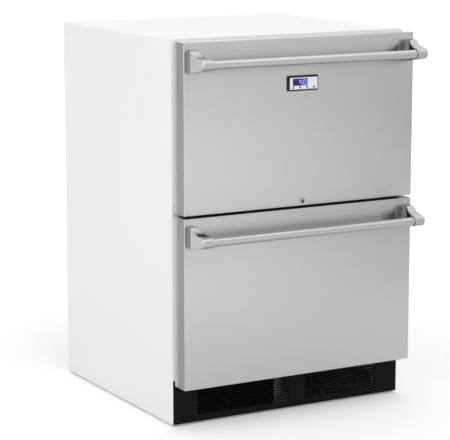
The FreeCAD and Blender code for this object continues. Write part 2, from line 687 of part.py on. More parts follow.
def fan_motor(center, bracket):
    """A square motor behind a fan, bored for its shaft, with its bracket."""
    half = FAN_MOTOR_RADIUS
    front_y = center.y + FAN_HUB_DEPTH + FAN_RUNNING_GAP
    back_y = front_y + FAN_MOTOR_DEPTH
    motor = block((center.x - half, center.x + half), (front_y, back_y), (center.z - half, center.z + half))
    start = Vector(center.x, front_y, center.z)
    shaft_hole = rod(start, start + Y_AXIS * FAN_MOTOR_DEPTH, FAN_SHAFT_RADIUS + FAN_SHAFT_FIT)
    return motor.cut(shaft_hole).fuse(bracket)


def motor_back_y(center):
    return center.y + FAN_HUB_DEPTH + FAN_RUNNING_GAP + FAN_MOTOR_DEPTH


def strap(center, depth, height):
    """A flat strip of the bracket, behind the motor's middle."""
    half = FAN_STRAP_WIDTH / 2
    return block((center.x - half, center.x + half), depth, height)


def condenser_fan_motor():
    center = condenser_fan_center()
    back_y = motor_back_y(center)
    upright = strap(center, (back_y, back_y + FAN_STRAP), (PAN_TOP_Z, center.z + FAN_MOTOR_RADIUS))
    foot = strap(center, (back_y, back_y + FAN_STRAP_WIDTH), (PAN_TOP_Z, PAN_TOP_Z + FAN_STRAP))
    return fan_motor(center, [upright.fuse(foot)])


def evaporator_fan_motor():
    center = evaporator_fan_center()
    back_y = motor_back_y(center)
    reach = FAN_MOTOR_RADIUS + FAN_STRAP_WIDTH
    upright = strap(center, (back_y, back_y + FAN_STRAP), (center.z - reach, center.z + reach))
    legs = []
    for low_z in (center.z - reach, center.z + reach - FAN_STRAP):
        legs.append(strap(center, (back_y, COLD_REAR_Y), (low_z, low_z + FAN_STRAP)))
    return fan_motor(center, [upright.fuse(legs)])


def fan_impeller(size, center):
    """The turning blades, hub and shaft of a fan."""
    back = center + Y_AXIS * FAN_HUB_DEPTH
    hub = rod(center, back, FAN_HUB_RADIUS)
    shaft = rod(back, back + Y_AXIS * (FAN_RUNNING_GAP + FAN_SHAFT_LENGTH), FAN_SHAFT_RADIUS)
    corner_x = BLADE_TIP / 2 * math.cos(math.radians(BLADE_PITCH))
    tip = math.sqrt((size / 2) ** 2 - corner_x ** 2)
    root = FAN_HUB_RADIUS - BLADE_ROOT / 3
    profile = [(-BLADE_ROOT / 2, root), (BLADE_ROOT / 2, root), (BLADE_TIP / 2, tip), (-BLADE_TIP / 2, tip)]
    blade = prism_y(profile, both_ways(BLADE_THICKNESS / 2))
    blade.rotate(Vector(), Z_AXIS, BLADE_PITCH)
    blade.translate(center + Y_AXIS * (FAN_HUB_DEPTH / 2))
    blades = []
    for step in range(FAN_BLADES):
        turned = blade.copy()
        turned.rotate(center, Y_AXIS, 360 * step / FAN_BLADES)
        blades.append(turned)
    return hub.fuse(blades + [shaft])


def condenser_fan_center():
    x = (CONDENSER_LEFT + CONDENSER_RIGHT) / 2
    return Vector(x, CONDENSER_BACK_Y + CONDENSER_FAN_GAP, (PAN_TOP_Z + DECK_HEIGHT) / 2)


def evaporator_fan_center():
    return Vector(0, DUCT_Y + DUCT_WALL + EVAPORATOR_FAN_GAP, FAN_Z)


def drier_end(step):
    """A point on the drier's axis, counted in drier lengths from its front end."""
    return Vector(CONDENSER_LEFT, DRIER_Y + step * DRIER_LENGTH, PAN_TOP_Z + LIQUID_Z)


def liquid_line():
    """The line from the condenser to the filter drier, and the thin capillary that rises from it."""
    front, rear = drier_end(0), drier_end(1)
    header = Vector(CONDENSER_LEFT, CONDENSER_BACK_Y, front.z)
    start = rear - Y_AXIS * DRIER_RADIUS
    capillary = rod(start, Vector(start.x, start.y, DECK_HEIGHT), CAPILLARY_RADIUS)
    return rod(header, front, LINE_RADIUS).fuse([rod(front, rear, DRIER_RADIUS), capillary])


def refrigerant_lines():
    """The discharge line to the condenser, the liquid line, and the suction line from the evaporator."""
    header = Vector(CONDENSER_RIGHT, CONDENSER_BACK_Y, PAN_TOP_Z + DISCHARGE_Z)
    discharge = rod(header, Vector(header.x, COMPRESSOR_Y, header.z), LINE_RADIUS).cut(compressor())
    crown = Vector(COIL_OUTLET_X, COMPRESSOR_Y, COMPRESSOR_TOP_Z)
    suction = rod(crown, Vector(crown.x, crown.y, STEP_HEIGHT), LINE_RADIUS)
    return Part.makeCompound([discharge, liquid_line(), suction])


def control_module():
    return block(
        (MODULE_LEFT, MODULE_LEFT + MODULE_LENGTH),
        (MODULE_FRONT, MODULE_FRONT + MODULE_WIDTH),
        (PAN_TOP_Z, PAN_TOP_Z + MODULE_HEIGHT),
    )


def drain_pan():
    right = DRAIN_PAN_RIGHT
    rear = DRAIN_PAN_FRONT + DRAIN_PAN_WIDTH
    top_z = PAN_TOP_Z + DRAIN_PAN_HEIGHT
    wall = DRAIN_PAN_WALL
    tray = block((DRAIN_PAN_LEFT, right), (DRAIN_PAN_FRONT, rear), (PAN_TOP_Z, top_z))
    water = block(
        (DRAIN_PAN_LEFT + wall, right - wall),
        (DRAIN_PAN_FRONT + wall, rear - wall),
        (PAN_TOP_Z + wall, top_z + wall),
    )
    return tray.cut(water)


def drain_tube():
    low = Vector(DRAIN_X, COMPRESSOR_Y, PAN_TOP_Z + DRAIN_PAN_HEIGHT - DRAIN_DIP)
    high = Vector(DRAIN_X, COMPRESSOR_Y, STEP_TOP_Z)
    bore = rod(low - Z_AXIS, high + Z_AXIS, DRAIN_BORE)
    return rod(low, high, DRAIN_RADIUS).cut(bore)


# Evaporator and air duct


def coil_channel():
    """The raised channel: a riser at the inlet, rows that turn back on each other, and a drop at the outlet."""
    half = COIL_CHANNEL / 2
    depth = (COMPRESSOR_Y - PLATE_SHEET / 2 - COIL_RAISE, COMPRESSOR_Y - PLATE_SHEET / 2)
    turn_left = COIL_INLET_X + COIL_PITCH

    def run(x_range, z_range):
        return block((x_range[0] - half, x_range[1] + half), depth, (z_range[0] - half, z_range[1] + half))

    runs = [run((COIL_INLET_X, COIL_INLET_X), (PLATE_LOW_Z + half, COIL_TOP_Z))]
    for step in range(COIL_PASSES):
        z = COIL_TOP_Z - step * COIL_PITCH
        left = COIL_INLET_X if step == 0 else turn_left
        if step == COIL_PASSES - 1:
            left = COIL_OUTLET_X
        else:
            turn = COIL_HALF_WIDTH if step % 2 == 0 else turn_left
            runs.append(run((turn, turn), (z - COIL_PITCH, z)))
        runs.append(run((left, COIL_HALF_WIDTH), (z, z)))
    runs.append(run((COIL_OUTLET_X, COIL_OUTLET_X), (PLATE_LOW_Z + half, COIL_LOW_Z)))
    return runs[0].fuse(runs[1:]).removeSplitter()


def evaporator():
    half = COIL_HALF_WIDTH + PLATE_MARGIN
    high_z = COIL_TOP_Z + PLATE_MARGIN
    back_y = COMPRESSOR_Y + PLATE_SHEET / 2
    plate = block(both_ways(half), (COMPRESSOR_Y - PLATE_SHEET / 2, back_y), (PLATE_LOW_Z, high_z))
    pieces = [coil_channel()]
    for left in (-half, half - BRACKET_WIDTH):
        for low_z in (COIL_LOW_Z + PLATE_MARGIN, COIL_TOP_Z - PLATE_MARGIN):
            across = (left, left + BRACKET_WIDTH)
            pieces.append(block(across, (back_y, COLD_REAR_Y), (low_z, low_z + PLATE_MARGIN)))
    for x, low_z in ((COIL_INLET_X, INLET_LOW_Z), (COIL_OUTLET_X, STEP_HEIGHT)):
        low = Vector(x, COMPRESSOR_Y, low_z)
        pieces.append(rod(low, Vector(x, COMPRESSOR_Y, PLATE_LOW_Z + STUB_LAP), LINE_RADIUS))
    return plate.fuse(pieces)


def duct_cover():
    half = DUCT_HALF_WIDTH
    shell = block(both_ways(half), (DUCT_Y, COLD_REAR_Y), (DUCT_LOW_Z, DUCT_TOP_Z))
    hollow = block(
        both_ways(half - DUCT_WALL),
        (DUCT_Y + DUCT_WALL, COLD_REAR_Y + DUCT_WALL),
        (DUCT_LOW_Z - DUCT_WALL, DUCT_TOP_Z - DUCT_WALL),
    )
    depth = (DUCT_Y - DUCT_WALL, DUCT_Y + 2 * DUCT_WALL)
    slots = []
    for row in range(DUCT_SLOT_ROWS):
        z = DUCT_TOP_Z - DUCT_SLOT_DROP - row * DUCT_SLOT_PITCH
        for x in (-DUCT_SLOT_X, DUCT_SLOT_X):
            span = (x - DUCT_SLOT_LENGTH / 2, x + DUCT_SLOT_LENGTH / 2)
            slots.append(block(span, depth, (z, z + DUCT_SLOT_HEIGHT)))
    for row in range(FAN_SLOT_ROWS):
        z = FAN_Z + (row - (FAN_SLOT_ROWS - 1) / 2) * DUCT_SLOT_PITCH - DUCT_SLOT_HEIGHT / 2
        slots.append(block(both_ways(FAN_SLOT_LENGTH / 2), depth, (z, z + DUCT_SLOT_HEIGHT)))
    return shell.cut([hollow] + slots)


# Slides and bins


def rail_points(pairs, middle_z):
    """Rail profile points, from the liner inwards and from the rail's middle up, as X and Z."""
    return [(LINER_HALF - inward, middle_z + up) for inward, up in pairs]


def channel_profile(start, depth, half):
    """A lipped channel, open towards the bin."""
    end = start + depth
    web = start + RAIL_SHEET
    inner = half - RAIL_SHEET
    lip = inner - RAIL_LIP
    upper = [(start, half), (end, half), (end, lip), (end - RAIL_SHEET, lip), (end - RAIL_SHEET, inner), (web, inner)]
    lower = [(inward, -up) for inward, up in reversed(upper)]
    return upper + lower


def rail_pair(profile, middle_z, length):
    y_range = (RAIL_FRONT_Y, RAIL_FRONT_Y + length)
    return mirrored(prism_y(rail_points(profile, middle_z), y_range))


def cabinet_rails(middle_z, length):
    return rail_pair(channel_profile(0, RAIL_CHANNEL, RAIL_HEIGHT / 2), middle_z, length)


def middle_rail_half():
    return RAIL_HEIGHT / 2 - RAIL_SHEET - RAIL_GAP


def middle_rails(middle_z, length):
    start = RAIL_SHEET + RAIL_GAP
    depth = RAIL_CHANNEL - 2 * start
    return rail_pair(channel_profile(start, depth, middle_rail_half()), middle_z, length)


def drawer_rails(middle_z, length):
    back = 2 * (RAIL_SHEET + RAIL_GAP)
    flange = back + RAIL_SHEET
    front = RAIL_CHANNEL + RAIL_REVEAL
    tall = middle_rail_half() - RAIL_SHEET - RAIL_GAP
    neck = tall - RAIL_LIP
    inner = neck - RAIL_SHEET
    upper = [(back, inner), (back, tall), (flange, tall), (flange, neck), (front, neck)]
    lower = [(inward, -up) for inward, up in reversed(upper)]
    hollow = [(front - RAIL_SHEET, -inner), (front - RAIL_SHEET, inner)]
    return rail_pair(upper + lower + hollow, middle_z, length)


def bin_tray(low_z, height, rear_y):
    """An open folded tray with square corners and a rim turned out at its sides and rear."""
    top_z = low_z + height

    def tub(inset, top):
        return block(
            both_ways(BIN_HALF - inset),
            (FRONT_BACK_Y + inset, rear_y - inset),
            (low_z + inset, top),
        )

    half = BIN_HALF + BIN_RIM
    rim = block(both_ways(half), (FRONT_BACK_Y, rear_y + BIN_RIM), (top_z - BIN_RIM_THICKNESS, top_z))
    return tub(0, top_z).fuse(rim).cut(tub(BIN_WALL, top_z + BIN_WALL))


# Drawer fronts


def front_block(low_z, top_z, inset, back_y):
    """A drawer front's outside, or an inset copy of it."""
    slab = block(
        both_ways(FRONT_HALF - inset), (FRONT_Y + inset, back_y), (low_z + inset, top_z - inset)
    )
    return rounded(slab, FRONT_EDGE_RADIUS - inset, Z_AXIS, lambda point: point.y < FRONT_Y + inset + 0.01)


def skin_doorway(low_z, top_z, y_range):
    """The opening inside the skin's turned-in back edges."""
    return block(both_ways(FRONT_HALF - SKIN_RETURN), y_range, (low_z + SKIN_RETURN, top_z - SKIN_RETURN))


def front_skin(low_z, top_z, holes):
    tray = front_block(low_z, top_z, 0, SKIN_BACK_Y)
    ends = [face for face in tray.Faces if abs(face.normalAt(0, 0).z) > 0.99]
    back = SKIN_BACK_Y - 0.01
    creases = [edge for face in ends for edge in face.Edges if edge.CenterOfMass.y < back]
    tray = tray.makeChamfer(FRONT_CREASE, creases)
    inside = front_block(low_z, top_z, SKIN, SKIN_BACK_Y - SKIN)
    doorway = skin_doorway(low_z, top_z, (SKIN_BACK_Y - 2 * SKIN, SKIN_BACK_Y + SKIN))
    return tray.cut([inside, doorway] + holes)


def front_core(low_z, top_z, holes):
    filling = front_block(low_z, top_z, SKIN, SKIN_BACK_Y - SKIN)
    step = skin_doorway(low_z, top_z, (SKIN_BACK_Y - 2 * SKIN, SKIN_BACK_Y))
    return filling.fuse(step).cut(holes).removeSplitter()


def inner_panel(low_z, top_z, holes):
    inset = INNER_PANEL_INSET
    panel = block(both_ways(FRONT_HALF - inset), (SKIN_BACK_Y, FRONT_BACK_Y), (low_z + inset, top_z - inset))
    return panel.cut(holes) if holes else panel


def gasket(seal):
    y_range = (FRONT_BACK_Y, FACE_Y - GASKET_CLEARANCE)
    outer = block(both_ways(FRONT_HALF - GASKET_INSET), y_range, seal)
    inner_half = FRONT_HALF - GASKET_INSET - GASKET_WIDTH
    inner = block(both_ways(inner_half), y_range, (seal[0] + GASKET_WIDTH, seal[1] - GASKET_WIDTH))
    return outer.cut(inner)


# Handles


def handle_z(top_z):
    return top_z - HANDLE_DROP


def handle_posts(top_z):
    """A cast post at each end: a side outline and a plan outline, each drawn out, kept where they meet."""
    z = handle_z(top_z)
    radius = COLLAR_DIAMETER / 2
    outer_x = FRONT_HALF - POST_EDGE_GAP
    inner_x = outer_x - POST_WIDTH
    collar_x = outer_x - COLLAR_LENGTH
    base_y = FRONT_Y - POST_BASE_DEPTH
    nose_y = HANDLE_Y - radius
    foot_low_z = z + POST_RISE - POST_HEIGHT / 2
    foot_top_z = foot_low_z + POST_HEIGHT
    side_lines = Part.makePolygon([
        Vector(collar_x, HANDLE_Y, z + radius),
        Vector(collar_x, base_y, foot_top_z),
        Vector(collar_x, FRONT_Y, foot_top_z),
        Vector(collar_x, FRONT_Y, foot_low_z),
        Vector(collar_x, base_y, foot_low_z),
        Vector(collar_x, HANDLE_Y, z - radius),
    ])
    nose = Part.Arc(
        Vector(collar_x, HANDLE_Y, z - radius),
        Vector(collar_x, nose_y, z),
        Vector(collar_x, HANDLE_Y, z + radius),
    )
    side = Part.Face(Part.Wire(side_lines.Edges + [nose.toShape()])).extrude(X_AXIS * COLLAR_LENGTH)
    plan = prism_z(
        [
            (outer_x, FRONT_Y),
            (outer_x, base_y),
            (outer_x - POST_LEAN, nose_y),
            (collar_x, nose_y),
            (collar_x, HANDLE_Y + radius),
            (inner_x, base_y),
            (inner_x, FRONT_Y),
        ],
        (z - POST_HEIGHT, z + POST_HEIGHT),
    )
    plan = rounded(plan, ELBOW_RADIUS, Z_AXIS, lambda point: point.x > inner_x and point.y < HANDLE_Y)
    post = side.common(plan)
    socket_start = Vector(collar_x - 1, HANDLE_Y, z)
    socket_end = Vector(collar_x + HANDLE_SOCKET, HANDLE_Y, z)
    socket = rod(socket_start, socket_end, HANDLE_BAR_DIAMETER / 2 + SOCKET_CLEARANCE)
    return mirrored(post.cut(socket))


def handle_bar(top_z):
    z = handle_z(top_z)
    end_x = FRONT_HALF - POST_EDGE_GAP - COLLAR_LENGTH + HANDLE_SOCKET
    return rod(Vector(-end_x, HANDLE_Y, z), Vector(end_x, HANDLE_Y, z), HANDLE_BAR_DIAMETER / 2)


# Controller and lock


def bezel_range(inset):
    """The bezel's left-right and low-high limits, drawn in by an inset."""
    across = (BEZEL_LEFT + inset, BEZEL_LEFT + BEZEL_WIDTH - inset)
    up = (BEZEL_LOW_Z + inset, BEZEL_LOW_Z + BEZEL_HEIGHT - inset)
    return across, up


def case_block(grow, y_range):
    half_width = CASE_WIDTH / 2 + grow
    half_height = CASE_HEIGHT / 2 + grow
    across = (CONTROLLER_X - half_width, CONTROLLER_X + half_width)
    return block(across, y_range, (CONTROLLER_Z - half_height, CONTROLLER_Z + half_height))


def controller_bezel():
    across, up = bezel_range(0)
    body = rounded(block(across, (BEZEL_Y, FRONT_Y), up), BEZEL_RADIUS, Y_AXIS)
    case = case_block(0, (FRONT_Y, FRONT_Y + CASE_DEPTH))
    across, up = bezel_range(BEZEL_BORDER)
    seat = block(across, (BEZEL_Y - 1, BEZEL_Y + FACE_PLATE), up)
    across, up = bezel_range(BEZEL_BORDER + FACE_LEDGE)
    pocket = block(across, (BEZEL_Y, BEZEL_Y + FACE_PLATE + BUTTON_POCKET), up)
    return body.fuse(case).cut([seat, pocket])


def window_block(grow, y_range):
    left = BEZEL_LEFT + WINDOW_LEFT - grow
    top = BEZEL_LOW_Z + BEZEL_HEIGHT - WINDOW_DROP + grow
    across = (left, left + WINDOW_WIDTH + 2 * grow)
    return block(across, y_range, (top - WINDOW_HEIGHT - 2 * grow, top))


def display_window():
    return window_block(0, (BEZEL_Y, BEZEL_Y + FACE_PLATE + BUTTON_POCKET))


def button_x(index):
    return BEZEL_LEFT + BUTTON_FIRST + index * BUTTON_PITCH


def button_block(x, grow, y_range):
    """A button's eight-sided outline, or one grown by a clearance, drawn out."""
    wide = BUTTON_WIDTH / 2 + grow
    tall = BUTTON_HEIGHT / 2 + grow
    cut = tall / 2
    corners = [(wide, tall - cut), (wide - cut, tall), (cut - wide, tall), (-wide, tall - cut)]
    corners += [(-across, -up) for across, up in corners]
    return prism_y([(x + across, BUTTON_Z + up) for across, up in corners], y_range)


def controller_face():
    across, up = bezel_range(BEZEL_BORDER + PANEL_CLEARANCE)
    plate = block(across, (BEZEL_Y, BEZEL_Y + FACE_PLATE), up)
    through = (BEZEL_Y - 1, BEZEL_Y + FACE_PLATE + 1)
    holes = [button_block(button_x(index), PANEL_CLEARANCE, through) for index in range(len(BUTTON_NAMES))]
    return plate.cut(holes + [window_block(PANEL_CLEARANCE, through)])


def push_button(index):
    x = button_x(index)
    flange_y = BEZEL_Y + FACE_PLATE
    stem = button_block(x, 0, (BEZEL_Y - BUTTON_PROUD, flange_y + BUTTON_FLANGE))
    flange = button_block(x, BUTTON_FLANGE, (flange_y, flange_y + BUTTON_FLANGE))
    return stem.fuse(flange)


def controller_holes():
    opening = case_block(PANEL_CLEARANCE, (FRONT_Y - 1, FRONT_Y + CASE_DEPTH + PANEL_CLEARANCE))
    return [opening]


def lock_point(y):
    return Vector(LOCK_X, y, LOCK_Z)


def lock_block(flats, y_range):
    """A six-sided piece on the lock's axis."""
    return prism_y(hexagon(LOCK_X, LOCK_Z, flats), y_range)


def lock_hole():
    """The six-sided hole for the lock through the whole upper front."""
    return lock_block(LOCK_BODY_FLATS + 2 * LOCK_HOLE_CLEARANCE, (FRONT_Y - 1, FACE_Y))


def lock_housing():
    face = rod(lock_point(FRONT_Y - LOCK_FACE_PROUD), lock_point(FRONT_Y), LOCK_FACE_DIAMETER / 2)
    body = lock_block(LOCK_BODY_FLATS, (FRONT_Y, FRONT_BACK_Y))
    bore_radius = LOCK_PLUG_DIAMETER / 2 + LOCK_RUNNING_FIT
    bore = rod(lock_point(FRONT_Y - 2 * LOCK_FACE_PROUD), lock_point(FACE_Y), bore_radius)
    return face.fuse(body).cut(bore)


def lock_plug():
    front_y = FRONT_Y - LOCK_FACE_PROUD
    back_y = TONGUE_Y + TONGUE_THICKNESS
    shaft = rod(lock_point(front_y), lock_point(back_y), LOCK_PLUG_DIAMETER / 2)
    keyway = block(
        (LOCK_X - KEYWAY_WIDTH / 2, LOCK_X + KEYWAY_WIDTH / 2),
        (front_y - 1, front_y + KEYWAY_DEPTH),
        (LOCK_Z - KEYWAY_HEIGHT / 2, LOCK_Z + KEYWAY_HEIGHT / 2),
    )
    tongue = block(
        (LOCK_X - TONGUE_LENGTH / 2, LOCK_X + TONGUE_LENGTH / 2),
        (TONGUE_Y, back_y),
        (LOCK_Z - TONGUE_HEIGHT / 2, LOCK_Z + TONGUE_HEIGHT / 2),
    )
    return shaft.fuse(tongue).cut(keyway)


def drawer(name, low_z, top_z, seal, bin_z, bin_height, bin_rear_y, rail_length, skin_holes, panel_holes):
    """The nodes that both drawers have."""
    rail_z = bin_z + RAIL_RAISE
    return {
        f"{name}_front_skin": front_skin(low_z, top_z, skin_holes),
        f"{name}_front_core": front_core(low_z, top_z, skin_holes),
        f"{name}_inner_panel": inner_panel(low_z, top_z, panel_holes),
        f"{name}_gasket": gasket(seal),
        f"{name}_handle_bar": handle_bar(top_z),
        f"{name}_handle_posts": handle_posts(top_z),
        f"{name}_bin": bin_tray(bin_z, bin_height, bin_rear_y),
        f"{name}_drawer_rails": drawer_rails(rail_z, rail_length),
        f"{name}_middle_rails": middle_rails(rail_z, rail_length),
        f"{name}_cabinet_rails": cabinet_rails(rail_z, rail_length),
    }


nodes = {
    "outer_wrapper": outer_wrapper(),
    "front_sill": front_sill(),
    "rear_panel": rear_panel(),
    "rear_cover": rear_cover(),
    "cord_gland": cord_gland(),
    "inner_liner": inner_liner(),
    "insulation_foam": insulation_foam(),
    "mullion_plate": mullion_plate(),
    "mullion_body": mullion_body(),
    "base_pan": base_pan(),
    "toe_grille": toe_grille(),
    "compressor": compressor(),
    "compressor_grommets": compressor_grommets(),
    "condenser": Part.makeCompound([condenser_core(), condenser_fins()]),
    "condenser_fan_motor": condenser_fan_motor(),
    "condenser_fan_impeller": fan_impeller(CONDENSER_FAN_SIZE, condenser_fan_center()),
    "refrigerant_lines": refrigerant_lines(),
    "control_module": control_module(),
    "drain_pan": drain_pan(),
    "drain_tube": drain_tube(),
    "evaporator": evaporator(),
    "duct_cover": duct_cover(),
    "evaporator_fan_motor": evaporator_fan_motor(),
    "evaporator_fan_impeller": fan_impeller(EVAPORATOR_FAN_SIZE, evaporator_fan_center()),
    "controller_bezel": controller_bezel(),
    "controller_face": controller_face(),
    "display_window": display_window(),
    "lock_housing": lock_housing(),
    "lock_plug": lock_plug(),
}
for leg_name, (leg_x, leg_y) in leg_places().items():
    nodes[leg_name] = levelling_leg(leg_x, leg_y)
for button_index, button_name in enumerate(BUTTON_NAMES):
    nodes[f"{button_name}_button"] = push_button(button_index)
nodes.update(drawer(
    "upper", UPPER_LOW_Z, UPPER_TOP_Z, UPPER_SEAL, UPPER_BIN_Z, UPPER_BIN_HEIGHT, UPPER_BIN_REAR_Y,
    UPPER_RAIL_LENGTH, controller_holes() + [lock_hole()], [lock_hole()],
))
nodes.update(drawer(
    "lower", LOWER_LOW_Z, LOWER_TOP_Z, LOWER_SEAL, LOWER_BIN_Z, LOWER_BIN_HEIGHT, LOWER_BIN_REAR_Y,
    LOWER_RAIL_LENGTH, [], [],
))

os.makedirs("parts", exist_ok=True)
for node_name, node_shape in nodes.items():
    node_shape.exportStep(f"parts/{node_name}.step")
    print(node_name, "valid" if node_shape.isValid() else "BROKEN", len(node_shape.Solids), "solids")
print(len(nodes), "nodes")
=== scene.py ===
# %% [markdown]
# A two-drawer under-counter refrigerator: a white cabinet, two brushed steel drawer
# fronts with bar handles, a small controller, a lock and a black louvred toe grille.
# The CAD model is loaded first and never changed. It fixes where everything is, so
# each new piece below reads its place from the solid that it dresses or replaces.

# %% Load the CAD frame
import json
import math

import bmesh
import bpy
from mathutils import Matrix, Vector


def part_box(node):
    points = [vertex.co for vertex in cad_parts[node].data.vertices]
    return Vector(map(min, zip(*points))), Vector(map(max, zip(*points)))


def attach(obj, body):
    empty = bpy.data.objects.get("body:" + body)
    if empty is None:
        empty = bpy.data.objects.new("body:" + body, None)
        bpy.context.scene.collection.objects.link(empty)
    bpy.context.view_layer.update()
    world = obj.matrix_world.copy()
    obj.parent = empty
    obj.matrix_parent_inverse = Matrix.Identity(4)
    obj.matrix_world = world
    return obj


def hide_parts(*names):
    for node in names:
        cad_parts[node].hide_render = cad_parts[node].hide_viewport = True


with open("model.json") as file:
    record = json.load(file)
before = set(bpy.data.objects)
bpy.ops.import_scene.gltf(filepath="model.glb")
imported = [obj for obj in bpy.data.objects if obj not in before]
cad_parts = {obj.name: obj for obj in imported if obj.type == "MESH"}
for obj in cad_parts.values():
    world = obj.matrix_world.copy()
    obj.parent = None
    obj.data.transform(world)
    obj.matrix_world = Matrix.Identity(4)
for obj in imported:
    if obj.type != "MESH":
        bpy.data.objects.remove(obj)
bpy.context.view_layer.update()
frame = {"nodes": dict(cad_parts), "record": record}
MM = 0.001

# %% [markdown]
# Every finish is a node material. Writing its arithmetic node by node hides the idea,
# so a small class wraps one output socket and turns +, -, * and > into Math nodes.
# A formula such as 1 - mask then reads as it would on paper.

# %% A socket that does arithmetic
class Wire:
    """One output socket of a node tree. Arithmetic on it adds Math nodes."""

    def __init__(self, tree, socket):
        self.tree = tree
        self.socket = socket

    def math(self, operation, first, second):
        """Adds a Math node of two values."""
        return self.tree.node("ShaderNodeMath", {"operation": operation}, {0: first, 1: second})

    def __add__(self, other):
        return self.math("ADD", self, other)

    def __sub__(self, other):
        return self.math("SUBTRACT", self, other)

    def __rsub__(self, other):
        return self.math("SUBTRACT", other, self)

    def __mul__(self, other):
        return self.math("MULTIPLY", self, other)

    def __gt__(self, other):
        return self.math("GREATER_THAN", self, other)

    __radd__ = __add__
    __rmul__ = __mul__


print("made the class", Wire.__name__)

# %% [markdown]
# Any node comes from one method that takes the node's type, then its settings, then what
# goes into its sockets. Materials and the world both have a node tree, so the method
# belongs to the tree. A ramp between two values is needed so often that it has a name.

# %% A node tree
class NodeTree:
    """A node tree, and one way to add any node to it."""

    def __init__(self, tree):
        self.nodes = tree.nodes
        self.links = tree.links

    def feed(self, socket, value):
        """Links a wire to a socket, or sets a plain value on it."""
        if isinstance(value, Wire):
            self.links.new(value.socket, socket)
        else:
            socket.default_value = value

    def node(self, kind, settings=None, sockets=None, out=0):
        """Adds a node and gives the wire from one of its outputs."""
        node = self.nodes.new(kind)
        for key, value in (settings or {}).items():
            setattr(node, key, value)
        for key, value in (sockets or {}).items():
            self.feed(node.inputs[key], value)
        return Wire(self, node.outputs[out])

    def ramp(self, value, start, end, low=0.0, high=1.0, shape="LINEAR"):
        """Runs from low to high while a value runs from start to end."""
        sockets = {"Value": value, "From Min": start, "From Max": end, "To Min": low, "To Max": high}
        return self.node("ShaderNodeMapRange", {"interpolation_type": shape}, sockets)


print("made the class", NodeTree.__name__)

# %% [markdown]
# A finish owns one material and its Principled shader. The textures all read Object
# coordinates: every piece sits at the origin with its place in its mesh, so one metre of
# texture is one metre of the refrigerator.

# %% A finish
class Finish(NodeTree):
    """One material with a Principled shader, and short ways to add nodes to it."""

    def __init__(self, name):
        self.material = bpy.data.materials.new(name)
        self.material.use_nodes = True
        super().__init__(self.material.node_tree)
        self.shader = self.nodes["Principled BSDF"]

    def place(self, scale=(1, 1, 1)):
        """Object coordinates, stretched."""
        point = self.node("ShaderNodeTexCoord", out="Object")
        return self.node("ShaderNodeMapping", sockets={"Vector": point, "Scale": scale})

    def along(self, axis):
        """How far a point is along an axis, in metres."""
        return self.node("ShaderNodeSeparateXYZ", sockets={0: self.place()}, out=axis)

    def noise(self, scale, stretch=(1, 1, 1), detail=2.0):
        """Cloudy values about 0.5, with so many clouds to the metre."""
        sockets = {"Vector": self.place(stretch), "Scale": scale, "Detail": detail}
        return self.node("ShaderNodeTexNoise", sockets=sockets)

    def cells(self, scale, out):
        """Voronoi cells, so many to the metre."""
        return self.node("ShaderNodeTexVoronoi", sockets={"Vector": self.place(), "Scale": scale}, out=out)

    def blend(self, factor, low, high):
        """A colour between two colours, which a Mix node has at sockets 6 and 7."""
        sockets = {0: factor, 6: (*low, 1), 7: (*high, 1)}
        return self.node("ShaderNodeMix", {"data_type": "RGBA"}, sockets, out=2)

    def bump(self, height, depth, strength=1.0):
        """A normal that follows a height, whose full rise is the depth in metres."""
        sockets = {"Height": height, "Distance": depth, "Strength": strength}
        return self.node("ShaderNodeBump", sockets=sockets)

    def set(self, **sockets):
        """Values or wires for the shader, named as its sockets are with _ for a space."""
        for name, value in sockets.items():
            self.feed(self.shader.inputs[name.replace("_", " ")], value)
        return self.material


print("made the class", Finish.__name__)

# %% [markdown]
# The cabinet is powder-coated sheet, and so is the black toe grille. Such a coat is baked
# from dust, so it flows out into a very fine orange peel and is never quite even. The peel
# is far too fine to model, so a small noise gives it as bump. A large faint noise moves
# the colour and the gloss a little over each sheet.

# %% Powder coats
def around(middle, swing, noise):
    """A value that swings about its middle as a noise goes from 0 to 1."""
    return middle - swing + 2 * swing * noise


def coat(name, low, high, rough, peel_scale, peel_depth, gloss=0.5):
    """Baked powder paint: two nearby colours, a gloss that drifts and a fine peel."""
    finish = Finish(name)
    drift = finish.noise(3.0, detail=3.0)
    peel = finish.noise(peel_scale)
    return finish.set(
        Base_Color=finish.blend(drift, low, high),
        Roughness=around(rough, 0.06, drift),
        Specular_IOR_Level=gloss,
        Normal=finish.bump(peel, peel_depth, 0.35),
    )


white_coat = coat(
    "white powder coat", (0.78, 0.785, 0.79), (0.83, 0.835, 0.84),
    rough=0.42, peel_scale=480.0, peel_depth=0.00025,
)
black_coat = coat(
    "black powder coat", (0.0035, 0.0035, 0.0037), (0.0055, 0.0055, 0.0058),
    rough=0.62, peel_scale=620.0, peel_depth=0.0002, gloss=0.1,
)
print("made", white_coat.name, "and", black_coat.name)

# %% [markdown]
# The drawer fronts are brushed stainless sheet. An abrasive belt ran across them, so
# the scratches are long in X and very short in Z. Drawn scratches would repeat, so a noise
# stretched that way moves the colour, the gloss and the surface together, and a second,
# longer one gives the broad bands that a belt leaves. A handle bar's colour has painted
# light and shade: lighter on top, darker below, and painted dark shade at the back, which
# faces the drawer.

# %% Brushed stainless steel
BELT_BANDS = (0.8, 9.0, 26.0)


def faced(finish, axis):
    """How far a surface faces along an axis, from -1 to 1."""
    normal = finish.node("ShaderNodeNewGeometry", out="Normal")
    return finish.node("ShaderNodeSeparateXYZ", sockets={0: normal}, out=axis)


def bar_grain_and_painted_light(finish, grain):
    """Painted light and shade on a bar: lighter where it faces up, darker below, and dark at the back."""
    # painted shade: the colour falls to the low colour where the bar faces back to the drawer
    front_unshaded = finish.ramp(faced(finish, "Y"), 0.2, 0.7, 1.0, 0.0, "SMOOTHSTEP")
    return (0.66 + 0.22 * faced(finish, "Z") + 0.15 * grain) * front_unshaded


